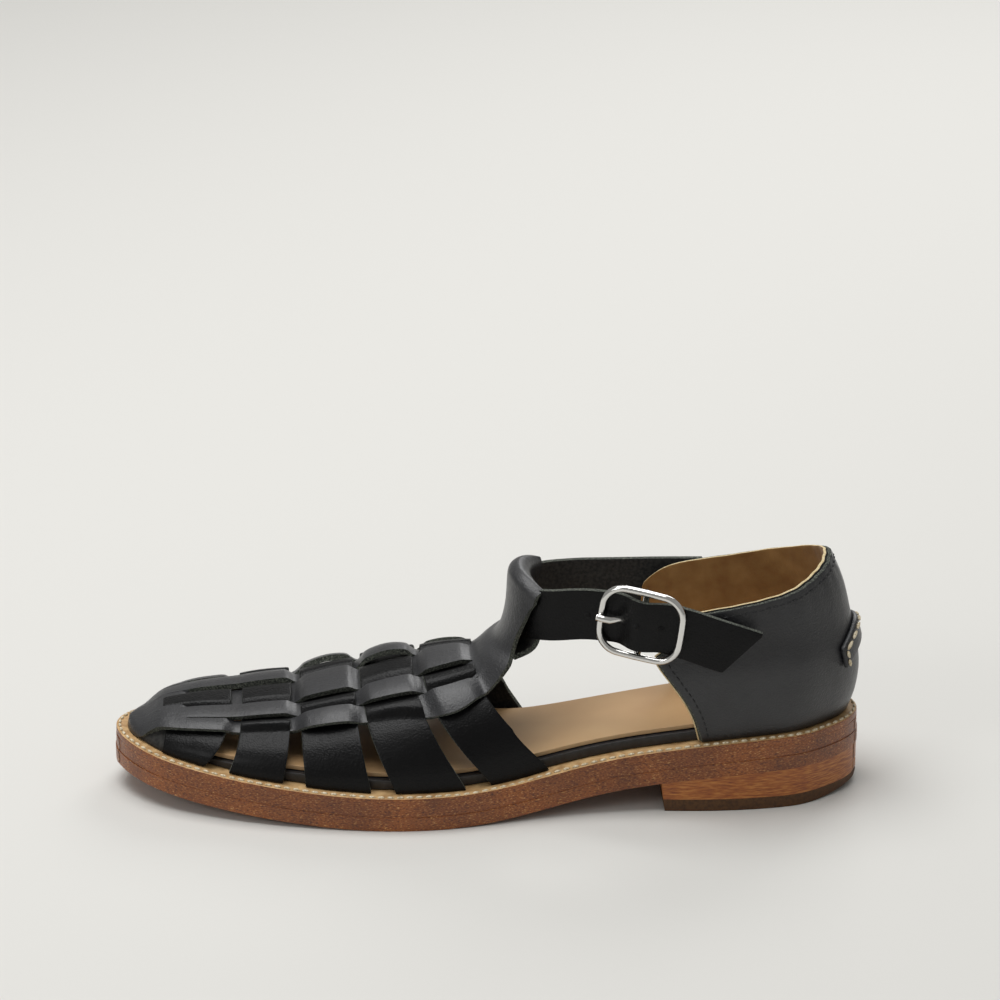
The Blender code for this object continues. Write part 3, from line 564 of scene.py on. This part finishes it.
def walled(name, rows, columns, place, keep=None):
    """A grid given two sides, each corner placed by (row, column, side): the grain
    side has finish 0, the cut edges 1 and the flesh side 2."""
    bm = bmesh.new()
    bmesh.ops.create_grid(bm, x_segments=rows, y_segments=columns, size=0.5)
    for vert in bm.verts:
        vert.co = (round((vert.co.x + 0.5) * rows), round((vert.co.y + 0.5) * columns), 0)
    if keep:
        middles = [(f, f.calc_center_median()) for f in bm.faces]
        spare = [f for f, middle in middles if not keep(int(middle.x), int(middle.y))]
        bmesh.ops.delete(bm, geom=spare, context="FACES")
    grown = bmesh.ops.extrude_face_region(bm, geom=bm.faces[:])
    for vert in grown["geom"]:
        if isinstance(vert, bmesh.types.BMVert):
            vert.co.z = 1
    for face in bm.faces:
        levels = {round(v.co.z) for v in face.verts}
        face.material_index = 1 if len(levels) > 1 else 0 if 1 in levels else 2
    for vert in bm.verts:
        vert.co = place(round(vert.co.x), round(vert.co.y), round(vert.co.z))
    bmesh.ops.recalc_face_normals(bm, faces=bm.faces[:])
    if bm.calc_volume(signed=True) < 0:
        bmesh.ops.reverse_faces(bm, faces=bm.faces[:])
    return finished_mesh(name, bm)


# Smooth black calf: full grain with a soft wax shine. Its pores are about
# 0.4 mm; they are drawn at 0.7 mm to show. Broad tone comes from handling.
def black_calf(name, dark, light, gloss, grain, polish):
    """Black calf of two tones: gloss is its roughness, polish its coat, grain its relief."""
    made, tree, shader, place = start_material(name, Coat_Weight=polish, Coat_Roughness=gloss,
                                               Specular_IOR_Level=polish)
    broad = noise(tree, place, 45, 3)
    pores = add(tree, "ShaderNodeTexVoronoi", values={"Scale": 1500}, links={"Vector": place})
    creases = add(tree, "ShaderNodeTexNoise", values={"Scale": 420, "Detail": 5, "Roughness": 0.6},
                  links={"Vector": place})
    colour(tree, shader, broad, (0.3, dark), (0.7, light))
    shine = add(tree, "ShaderNodeMapRange", values={"To Min": gloss, "To Max": gloss + 0.2},
                links={"Value": creases.outputs["Fac"]})
    tree.links.new(shine.outputs["Result"], shader.inputs["Roughness"])
    bump(tree, shader, pores.outputs["Distance"], 0.5, 0.0003)
    bump(tree, shader, creases.outputs["Fac"], grain, 0.0005)
    return made


calf = black_calf("waxed_black_calf", "#161619", "#202124", 0.34, 0.5, 0.44)
strap_calf = black_calf("polished_strap_calf", "#050506", "#0a0a0b", 0.24, 0.4, 0.12)

# Cut edge: raw fibres, matt, grey-green where the dye has not gone through.
cut_edge, tree, shader, place = start_material("raw_cut_edge", Roughness=0.95)
fibres = noise(tree, place, 1900, 4)
colour(tree, shader, fibres, (0.35, "#1c1e1c"), (0.5, "#41443e"), (0.7, "#74786d"))
bump(tree, shader, fibres, 0.7, 0.0004)

# Flesh side: brushed, dark and matt.
flesh, tree, shader, place = start_material("dark_flesh_side", Roughness=0.9)
nap = noise(tree, place, 900, 3)
colour(tree, shader, nap, (0.35, "#1c1c1c"), (0.65, "#333230"))
bump(tree, shader, nap, 0.4, 0.0003)

COLUMNS = 5
ROWS_PER_TURN = 5
WEAVE_STEPS = 96
WEAVE_START = 0.080
WEAVE_END = 0.478
weave_shares = [0.0, 0.003, 0.008, 0.015, 0.023, 0.032, 0.042, 0.052, 0.062, 0.071]
weave_shares += [WEAVE_START + (WEAVE_END - WEAVE_START) * i / WEAVE_STEPS
                 for i in range(WEAVE_STEPS + 1)]
LOOP_ROWS = range(5, 10)
LOOP_DROOP = 0.0034


def tongue_point(index, part, side):
    """A row of the T-bar above the weave, at a part across, on either side."""
    spots = [Vector((LENGTH * row[0], 0, ANKLE_HEIGHT * row[1])) for row in TONGUE]
    along = (spots[min(index + 1, len(spots) - 1)] - spots[max(index - 1, 0)]).normalized()
    out = Vector((-along.z, 0, along.x))
    y = LOOP_RADIUS * TONGUE[index][2] * (2 * part - 1)
    radius = LOOP_RADIUS * TONGUE[index][3]
    lean = math.asin(max(-0.95, min(0.95, y / radius)))
    droop = LOOP_DROOP * abs(2 * part - 1) ** 3 if index in LOOP_ROWS else 0.0
    spot = spots[index] + Vector((radius * (1 - math.cos(lean)), y, -droop)) + SHIFT
    rise = LEATHER * side + (STEP * 0.5 if index == 0 else 0.0)
    return spot + rise * (out * math.cos(lean) + Vector((0, 1, 0)) * math.sin(lean) * abs(out.x))


SLIT_FROM = 0.096
GAP_FROM, GAP_LENGTH = 0.08, 0.02
RISE_FROM, RISE_LENGTH = 0.018, 0.05
CROWN_FROM, CROWN_LENGTH = 0.08, 0.03
JOIN_FROM, JOIN_LENGTH = 0.462, 0.016
STRIP_CROWN = 0.12
TOE_CURL = 0.01


def t_bar_place(row, column, side):
    """A corner of the T-bar: slit strips on the last, then the tongue and its loop."""
    strip, line = divmod(column, COLUMNS)
    if row < len(weave_shares):
        crest = weave_shares[row]
        low = read(STRIP_EDGES, 1 + strip, crest)
        high = read(STRIP_EDGES, 2 + strip, crest)
        gap = SLIT / BALL_WIDTH * ease((crest - GAP_FROM) / GAP_LENGTH)
        low += gap if strip else 0.0
        high -= gap if strip < 4 else 0.0
        part = line / (COLUMNS - 1)
        girth = low + (high - low) * part
        lift, arch = strip_lift(strip, crest)
        lift = lift * ease((crest - RISE_FROM) / RISE_LENGTH)
        end = ease((crest - JOIN_FROM) / JOIN_LENGTH)
        lift = lift * (1 - end) + 0.5 * end
        crown = STRIP_CROWN * LEATHER * (1 - (2 * part - 1) ** 2)
        crown = crown * ease((crest - CROWN_FROM) / CROWN_LENGTH) * (1 - end)
        offset = STEP * lift + LEATHER * arch + crown + LEATHER * side
        if row == 0:
            x, y = outline_point(TOE_CURL * girth * girth, girth, FEATHER_INSET - offset)
            return Vector((x, y, feather(x))) + SHIFT
        return last_point(crest, girth, offset)
    index, turn_row = divmod(row - len(weave_shares) + 1, ROWS_PER_TURN)
    part = (strip * COLUMNS + line) / (5 * COLUMNS - 1)
    f = turn_row / ROWS_PER_TURN

    def knot(i):
        if i < 0:
            return t_bar_place(len(weave_shares) - 1 + 6 * (i + 1), column, side)
        return tongue_point(min(i, len(TONGUE) - 1), part, side)

    p0, p1, p2, p3 = [knot(index + k) for k in (-2, -1, 0, 1)]
    return 0.5 * (2 * p1 + (p2 - p0) * f + (2 * p0 - 5 * p1 + 4 * p2 - p3) * f * f
                  + (3 * p1 - 3 * p2 + p3 - p0) * f ** 3)


def t_bar_keep(row, column):
    """The cells that stay when the slits are cut."""
    slit = column % COLUMNS == COLUMNS - 1
    inside = row < len(weave_shares) - 1 and weave_shares[row] > SLIT_FROM
    return not (slit and inside)


RAW_EDGE = 0.00022
t_bar_rows = len(weave_shares) - 1 + len(TONGUE) * ROWS_PER_TURN
t_bar = walled("t_bar", t_bar_rows, 5 * COLUMNS - 1, t_bar_place, t_bar_keep)
show("t_bar", t_bar, [calf, cut_edge, flesh], ("vamp",), RAW_EDGE, 1)

# A thin dark sheet under the slits of the toe plate: painted shade, so the gaps between the strips
# look dark.
SHADE_SHEET_ROWS = 20
SHADE_SHEET_COLUMNS = 40
SHADE_SHEET_FROM = 0.0004
SHADE_SHEET_LENGTH = 0.11
SHADE_SHEET_UNDER = 0.0004
SHADE_SHEET_WALL = 0.0008


def toe_place(row, column, side):
    """A corner of the painted-shade sheet, which follows the last."""
    crest = SHADE_SHEET_FROM + SHADE_SHEET_LENGTH * row / SHADE_SHEET_ROWS
    return last_point(crest, 2 * column / SHADE_SHEET_COLUMNS - 1, SHADE_SHEET_UNDER + SHADE_SHEET_WALL * side)


# The sheet is painted shade for the slits, in the dark flesh-side finish.
toe_shade_sheet = walled("toe_shade_sheet", SHADE_SHEET_ROWS, SHADE_SHEET_COLUMNS, toe_place)
show("toe_shade_sheet", toe_shade_sheet, [flesh, flesh, flesh], ("vamp",))

# Cross straps: each a plain band, crowned where it lies on top.
GIRTH_STEPS = 96
WIDTH_STEPS = 6
STRAP_CROWN = 0.22
for number, (front, back) in enumerate(CROSS_STRAPS):
    def strap_place(row, column, side, number=number, front=front, back=back):
        """A corner of the strap between its front and back crest shares."""
        girth = 2 * row / GIRTH_STEPS - 1
        part = column / WIDTH_STEPS
        crest = front + (back - front) * part
        lift = strap_lift(number, crest, girth)
        crown = STRAP_CROWN * LEATHER * (1 - (2 * part - 1) ** 2) * (0.3 + 0.7 * lift)
        offset = STEP * lift + crown + LEATHER * side
        return last_point(crest, girth, offset)

    name = f"cross_strap_{number + 1}"
    strap = walled(name, GIRTH_STEPS, WIDTH_STEPS, strap_place)
    show(name, strap, [strap_calf, cut_edge, flesh], ("vamp",), RAW_EDGE, 1)

# Quarter: black calf outside, a natural suede lining inside.
# Both are cut alike and sewn together round the top and the two front edges,
# so the pale edge of the lining shows along the rim.
QUARTER_WALL = 0.0030
COUNTER_HEIGHT = 0.0605
HEEL_FORM = (
    # height, lean, girth, lateral front, medial front
    (0.00, 0.0000, 1.00, 0.788, 0.780),
    (0.13, 0.0100, 1.07, 0.781, 0.772),
    (0.28, 0.0140, 1.11, 0.767, 0.757),
    (0.42, 0.0110, 1.12, 0.748, 0.738),
    (0.58, 0.0025, 1.06, 0.729, 0.724),
    (0.67, -0.0020, 1.03, 0.758, 0.726),
    (0.80, -0.0090, 1.00, 0.762, 0.727),
    (1.00, -0.0275, 0.96, 0.766, 0.727),
)
TOPLINE = (
    # share round the heel, height
    (-1.00, 0.810),
    (-0.75, 0.835),
    (-0.50, 0.885),
    (-0.25, 0.955),
    (0.00, 1.000),
    (0.25, 0.955),
    (0.50, 0.890),
    (0.75, 0.850),
    (1.00, 0.835),
)


def heel_point(around, height, offset):
    """A point of the quarter: -1 lateral front edge, 0 back seam, 1 medial front."""
    tall = height / COUNTER_HEIGHT
    start = read(HEEL_FORM, 3 if around < 0 else 4, tall)
    share = 1 - (1 - start) * (1 - math.cos(math.pi / 2 * abs(around)))
    x, y = outline_point(share, around, WELT_MARGIN + QUARTER_WALL - offset)
    sides = read(OUTLINE, 1, share, angle=True) + read(OUTLINE, 2, share, angle=True)
    middle = BALL_WIDTH * 0.5 * sides
    lean = LENGTH * read(HEEL_FORM, 1, tall) * max(0.0, (share - start) / (1 - start))
    y = middle + (y - middle) * read(HEEL_FORM, 2, tall)
    return Vector((x + lean, y, feather(x) + height)) + SHIFT


def seam_line(outline, offset):
    """Points on the quarter from (around, height), with their outward directions."""
    line = []
    for around, height in outline:
        spot = heel_point(around, height, offset)
        line.append((spot, (spot - heel_point(around, height, 0.0)).normalized()))
    return line


# Suede: napped, golden, with hand marks about 9 mm wide.
suede, tree, shader, place = start_material("natural_suede", Roughness=0.9)
shader.inputs["Sheen Weight"].default_value = 0.3
marks = noise(tree, place, 110, 5)
nap = noise(tree, place, 1500, 3)
colour(tree, shader, marks, (0.3, "#835c2a"), (0.7, "#a67f49"))
bump(tree, shader, nap, 0.4, 0.0003)

# Rim of the lining: its cut edge, pale and fibrous.
pale_edge, tree, shader, place = start_material("pale_lining_edge", Roughness=0.85)
fibres = noise(tree, place, 1400, 3)
colour(tree, shader, fibres, (0.35, "#bfa878"), (0.65, "#dfcfa8"))

# Sewing thread of the quarter: black polyester, with a slight shine.
dark_thread, tree, shader, place = start_material("black_sewing_thread", Roughness=0.6)
shader.inputs["Base Color"].default_value = linear("#17181a")

AROUND_STEPS = 64
UP_STEPS = 18
CORNER_DROP = 0.10
CORNER_FROM = 0.90
PUCKER = 0.00025
PUCKER_TURNS = 60


def quarter_layer(inner, outer, extra):
    """A layer of the quarter between two offsets, its rim standing up by the extra."""
    def place(row, column, side):
        around = 2 * column / AROUND_STEPS - 1
        corner = 1 - CORNER_DROP * max(0.0, (around - CORNER_FROM) / 0.10) ** 2
        rim_height = COUNTER_HEIGHT * read(TOPLINE, 1, around) * corner + extra
        height = rim_height * row / UP_STEPS
        offset = inner + (outer - inner) * side
        pucker = PUCKER * math.sin(around * PUCKER_TURNS) * (row / UP_STEPS) ** 8
        return heel_point(around, height, offset + pucker)

    return place


quarter = walled("quarter_calf", UP_STEPS, AROUND_STEPS, quarter_layer(0.0014, QUARTER_WALL, 0.0))
show("quarter_calf", quarter, [calf, cut_edge, flesh], ("quarter",), 0.0004, 1)
lining = walled("quarter_lining", UP_STEPS, AROUND_STEPS, quarter_layer(0.0, 0.0012, 0.0004))
show("quarter_lining", lining, [flesh, pale_edge, suede], ("quarter",), 0.0003, 1)


SEAM_PITCH = 0.0026
SEAM_STITCH = 0.0020
SEAM_THREAD = 0.00028
RIM_INSET = 0.0024
rim = [(i / 60, COUNTER_HEIGHT * read(TOPLINE, 1, i / 60) - RIM_INSET) for i in range(-58, 59)]
seams = [("quarter_rim_stitches", rim)]
for side, name in ((-0.975, "lateral_front_stitches"), (0.975, "medial_front_stitches")):
    top = COUNTER_HEIGHT * read(TOPLINE, 1, side)
    seams.append((name, [(side, top * (0.03 + 0.92 * i / 30)) for i in range(31)]))
for name, outline in seams:
    stitch(name, seam_line(outline, QUARTER_WALL), SEAM_PITCH, SEAM_STITCH, SEAM_THREAD,
           dark_thread)

# Heel tab: a padded arch of the same calf over the back seam.
# It is sewn down along its top and both ends with heavy cream thread.
TAB_REACH = 0.31
TAB_APEX = 0.0315
TAB_DROP = 0.0070
TAB_WIDTH = 0.0080
TAB_THICK = 0.0020
TAB_TOP = QUARTER_WALL + GAP + TAB_THICK
ARCH_PITCH, ARCH_STITCH, ARCH_THREAD = 0.0050, 0.0045, 0.00062
END_PITCH, END_STITCH, END_THREAD = 0.0034, 0.0030, 0.00060
dress("heel_tab", [calf], edge=0.0007)
arch = []
for i in range(-20, 21):
    around = TAB_REACH * 0.96 * i / 20
    arch.append((around, TAB_APEX - TAB_DROP * (around / TAB_REACH) ** 2 + TAB_WIDTH * 0.34))
stitch("heel_tab_stitches", seam_line(arch, TAB_TOP), ARCH_PITCH, ARCH_STITCH, ARCH_THREAD,
       thread)
for side, name in ((-1, "heel_tab_lateral_end"), (1, "heel_tab_medial_end")):
    end = [(side * TAB_REACH * 0.95, TAB_APEX - TAB_DROP + TAB_WIDTH * (0.42 - 0.84 * i / 8))
           for i in range(9)]
    stitch(name, seam_line(end, TAB_TOP), END_PITCH, END_STITCH, END_THREAD, thread)

# Ankle strap and buckle: a calf strap through the T-bar's loop and over the
# buckle's centre bar, under the two ends of its frame. The frame and prong are
# bent from round wire with a polished nickel plate.
STRAP_WIDTH = 0.0188
STRAP_WALL = 0.0022
FRAME_LENGTH = 0.0300
FRAME_HEIGHT = 0.0274
FRAME_WIRE = 0.0014
FRAME_CORNER = 0.0075
BAR_WIRE = 0.0012
BAR_SETBACK = 0.0026
BUCKLE_ALONG = 0.1985
STRAP_ROUTE = (
    # along, across, height
    (0.2950, 0.252, 0.900),
    (0.2350, 0.250, 0.905),
    (0.1700, 0.242, 0.910),
    (0.1250, 0.232, 0.915),
    (0.0760, 0.190, 0.922),
    (0.0510, 0.110, 0.928),
    (0.0422, 0.000, 0.931),
    (0.0510, -0.110, 0.943),
    (0.0780, -0.195, 0.966),
    (0.1250, -0.250, 0.996),
    (0.1650, -0.290, 0.998),
    (0.2000, -0.328, 0.986),
    (0.2500, -0.370, 0.950),
    (0.2950, -0.388, 0.895),
    (0.3430, -0.392, 0.832),
)


def strap_route(share):
    """A point of the strap's route, on a smooth curve through its table."""
    spots = [Vector((LENGTH * x, BALL_WIDTH * y, ANKLE_HEIGHT * z)) for x, y, z in STRAP_ROUTE]
    lengths = [0.0]
    for a, b in zip(spots, spots[1:]):
        lengths.append(lengths[-1] + (b - a).length)
    knots = [length / lengths[-1] for length in lengths]
    last = len(knots) - 1
    slopes = []
    for i in range(last + 1):
        low, high = max(i - 1, 0), min(i + 1, last)
        slopes.append((spots[high] - spots[low]) / (knots[high] - knots[low]))
    spot = max(i for i in range(last) if knots[i] <= share or i == 0)
    step = knots[spot + 1] - knots[spot]
    f = (share - knots[spot]) / step
    return (spots[spot] * (1 + 2 * f) * (1 - f) ** 2 + slopes[spot] * step * f * (1 - f) ** 2
            + spots[spot + 1] * f * f * (3 - 2 * f) - slopes[spot + 1] * step * f * f * (1 - f))


def strap_frame(share):
    """Point on the strap's route with its direction, outward side and height side."""
    ahead = strap_route(min(share + 0.004, 1.0)) - strap_route(max(share - 0.004, 0.0))
    ahead = ahead.normalized()
    out = Vector((0, 0, 1)).cross(ahead).normalized()
    up = ahead.cross(out).normalized()
    return strap_route(share) + SHIFT, ahead, -out, -up if up.z < 0 else up


STRAP_TOTAL = sum((strap_route((i + 1) / 200) - strap_route(i / 200)).length
                  for i in range(200))
BUCKLE_SHARE = min((i / 400 for i in range(200, 400)),
                   key=lambda s: abs(strap_route(s).x - LENGTH * BUCKLE_ALONG))
BAR_HEIGHT = STRAP_WALL / 2 + GAP + FRAME_WIRE - BAR_SETBACK
TAB_FOLD = 0.0011
STRAP_BUMP = BAR_HEIGHT + BAR_WIRE + 2 * GAP + TAB_FOLD + STRAP_WALL / 2
STRAP_RISE = 0.0100


def strap_rise(distance):
    """How far the strap is lifted over the centre bar, by its distance from it."""
    if abs(distance) >= STRAP_RISE:
        return 0.0
    return STRAP_BUMP * (1 + math.cos(math.pi * distance / STRAP_RISE)) / 2


def strap_spot(share, level, over=0.0):
    """A point on the strap's outer face: share along, level -0.5 to 0.5 across."""
    spot, ahead, out, up = strap_frame(share)
    rise = strap_rise((share - BUCKLE_SHARE) * STRAP_TOTAL)
    spot = spot + out * (rise + STRAP_WALL / 2 + over) + up * STRAP_WIDTH * level
    return spot, ahead, out, up


LENGTH_STEPS = 170
LEVEL_STEPS = 6
TIP_LENGTH = 0.0085
TIP_CUT = 0.92
STRAP_ROUND = 0.0002


def strap_place(row, column, side):
    """A corner of the strap, cut slanted to a point at its free end."""
    share = row / LENGTH_STEPS
    spot, ahead, out, up = strap_spot(share, 0.0)
    cut = max(0.0, 1 - (1 - share) * STRAP_TOTAL / TIP_LENGTH)
    level = 0.5 - (1 - column / LEVEL_STEPS) * (1 - TIP_CUT * cut)
    crown = STRAP_ROUND * (1 - (2 * column / LEVEL_STEPS - 1) ** 2)
    return spot + out * (STRAP_WALL * (side - 1) + crown) + up * STRAP_WIDTH * level


strap = walled("strap_calf", LENGTH_STEPS, LEVEL_STEPS, strap_place)
show("strap_calf", strap, [strap_calf, cut_edge, flesh], ("ankle_strap",),
     0.00025, 1)

# Punched holes: round, 2.4 mm, drawn as near-black discs lying on the strap: painted shade for
# the dark inside of each hole. One before the buckle's bar and two after it.
hole_painted_shade, tree, shader, place = start_material("punched_hole_painted_shade", Roughness=1.0)
# Painted shade: the near-black that stands in for the inside of a hole.
shader.inputs["Base Color"].default_value = linear("#050505")
HOLES = (-0.0200, -0.0010, 0.0072)
HOLE_RADIUS = 0.0012
HOLE_PROUD = 0.0001
bm = bmesh.new()
for distance in HOLES:
    spot, _, _, up = strap_spot(BUCKLE_SHARE + distance / STRAP_TOTAL, 0.0, HOLE_PROUD)
    before = strap_spot(BUCKLE_SHARE + (distance - 0.0008) / STRAP_TOTAL, 0.0)[0]
    after = strap_spot(BUCKLE_SHARE + (distance + 0.0008) / STRAP_TOTAL, 0.0)[0]
    ahead = (after - before).normalized()
    axes = Matrix((ahead, up, ahead.cross(up))).transposed().to_4x4()
    bmesh.ops.create_cone(bm, cap_ends=True, segments=20, radius1=HOLE_RADIUS,
                          radius2=HOLE_RADIUS, depth=0.0005,
                          matrix=Matrix.Translation(spot) @ axes)
show("strap_holes", finished_mesh("strap_holes", bm), [hole_painted_shade])

# Polished nickel: bright, with faint waves about 3 mm long from wiping.
nickel, tree, shader, place = start_material("polished_nickel_plate", Metallic=1.0, Roughness=0.13)
shader.inputs["Base Color"].default_value = linear("#dcdbd8")
wipes = noise(tree, place, 350, 2)
bump(tree, shader, wipes, 0.05, 0.0002)

spot, ahead, out, up = strap_frame(BUCKLE_SHARE)
buckle_axes = Matrix.Translation(spot) @ Matrix((ahead, out, up)).transposed().to_4x4()
WIRE = 0.00125
FRAME_WIDER = 0.0009
FRAME_BELLY = 0.0006
half_x = FRAME_LENGTH / 2 - WIRE + FRAME_WIDER
half_z = FRAME_HEIGHT / 2 - WIRE
side_height = BAR_HEIGHT + BAR_SETBACK
straight = half_x - FRAME_CORNER


def wire_mesh(name, spots, radius, cyclic):
    """A round wire through the points, as a mesh with its place applied."""
    curve = bpy.data.curves.new(name, "CURVE")
    curve.dimensions = "3D"
    curve.bevel_depth = radius
    curve.bevel_resolution = 5
    curve.use_fill_caps = True
    path = curve.splines.new("POLY")
    path.points.add(len(spots) - 1)
    for point, place in zip(path.points, spots):
        point.co = (*place, 1)
    path.use_cyclic_u = cyclic
    guide = bpy.data.objects.new(name, curve)
    bpy.context.scene.collection.objects.link(guide)
    bpy.context.view_layer.update()
    depsgraph = bpy.context.evaluated_depsgraph_get()
    mesh = bpy.data.meshes.new_from_object(guide.evaluated_get(depsgraph))
    bpy.data.objects.remove(guide, do_unlink=True)
    mesh.transform(buckle_axes)
    return mesh


corners = []
for cx, cz, start in ((1, 1, 0), (-1, 1, 90), (-1, -1, 180), (1, -1, 270)):
    for step in range(13):
        angle = math.radians(start + 90 * step / 12)
        corners.append((cx * straight + FRAME_CORNER * math.cos(angle),
                        cz * (half_z - FRAME_CORNER) + FRAME_CORNER * math.sin(angle)))
ring = []
for (x0, z0), (x1, z1) in zip(corners, corners[1:] + corners[:1]):
    parts = 8 if math.hypot(x1 - x0, z1 - z0) > 0.004 else 1
    for part in range(parts):
        x = x0 + (x1 - x0) * part / parts
        z = z0 + (z1 - z0) * part / parts
        belly = (FRAME_BELLY * math.cos(math.pi * x / FRAME_LENGTH)
                 + FRAME_BELLY * math.cos(math.pi * z / FRAME_HEIGHT))
        swell = 1 + belly / half_x
        ring.append(Vector((x * swell - FRAME_BELLY * x / half_x, side_height,
                            z * swell - FRAME_BELLY * z / half_z)))
show("buckle_frame_plate", wire_mesh("buckle_frame_plate", ring, WIRE, True), [nickel],
     ("buckle_frame",))
BAR_DIP = (
    # height as a share, share of the setback
    (-1.00, 0.0),
    (-0.97, 0.6),
    (-0.90, 1.0),
    (0.90, 1.0),
    (0.97, 0.6),
    (1.00, 0.0),
)
bar = [Vector((0, side_height - BAR_SETBACK * dip, z * half_z)) for z, dip in BAR_DIP]
show("buckle_bar", wire_mesh("buckle_bar", bar, BAR_WIRE, False), [nickel],
     ("buckle_frame",))
PRONG_WIRE = 0.0013
PRONG_HOLE = 0.0076
PRONG_OVER = 0.0009
strap_top = STRAP_WALL / 2 + strap_rise(PRONG_HOLE)
over_wire = side_height + WIRE + PRONG_OVER
PRONG = (
    # along, height
    (-0.0066, strap_top - 0.0012),
    (-PRONG_HOLE, strap_top + 0.0002),
    (-0.0090, strap_top + 0.0010),
    (-0.0110, over_wire),
    (-0.0138, over_wire + 0.0002),
    (-0.0156, over_wire - 0.0001),
)
prong = [Vector((x, y, 0.0)) for x, y in PRONG]
show("buckle_prong_plate", wire_mesh("buckle_prong_plate", prong, PRONG_WIRE, False), [nickel],
     ("buckle_prong",), 0.0003)
dress("buckle_tab", [strap_calf, cut_edge], edge=0.0002,
      pick=lambda n: abs(n.z) > 0.75)
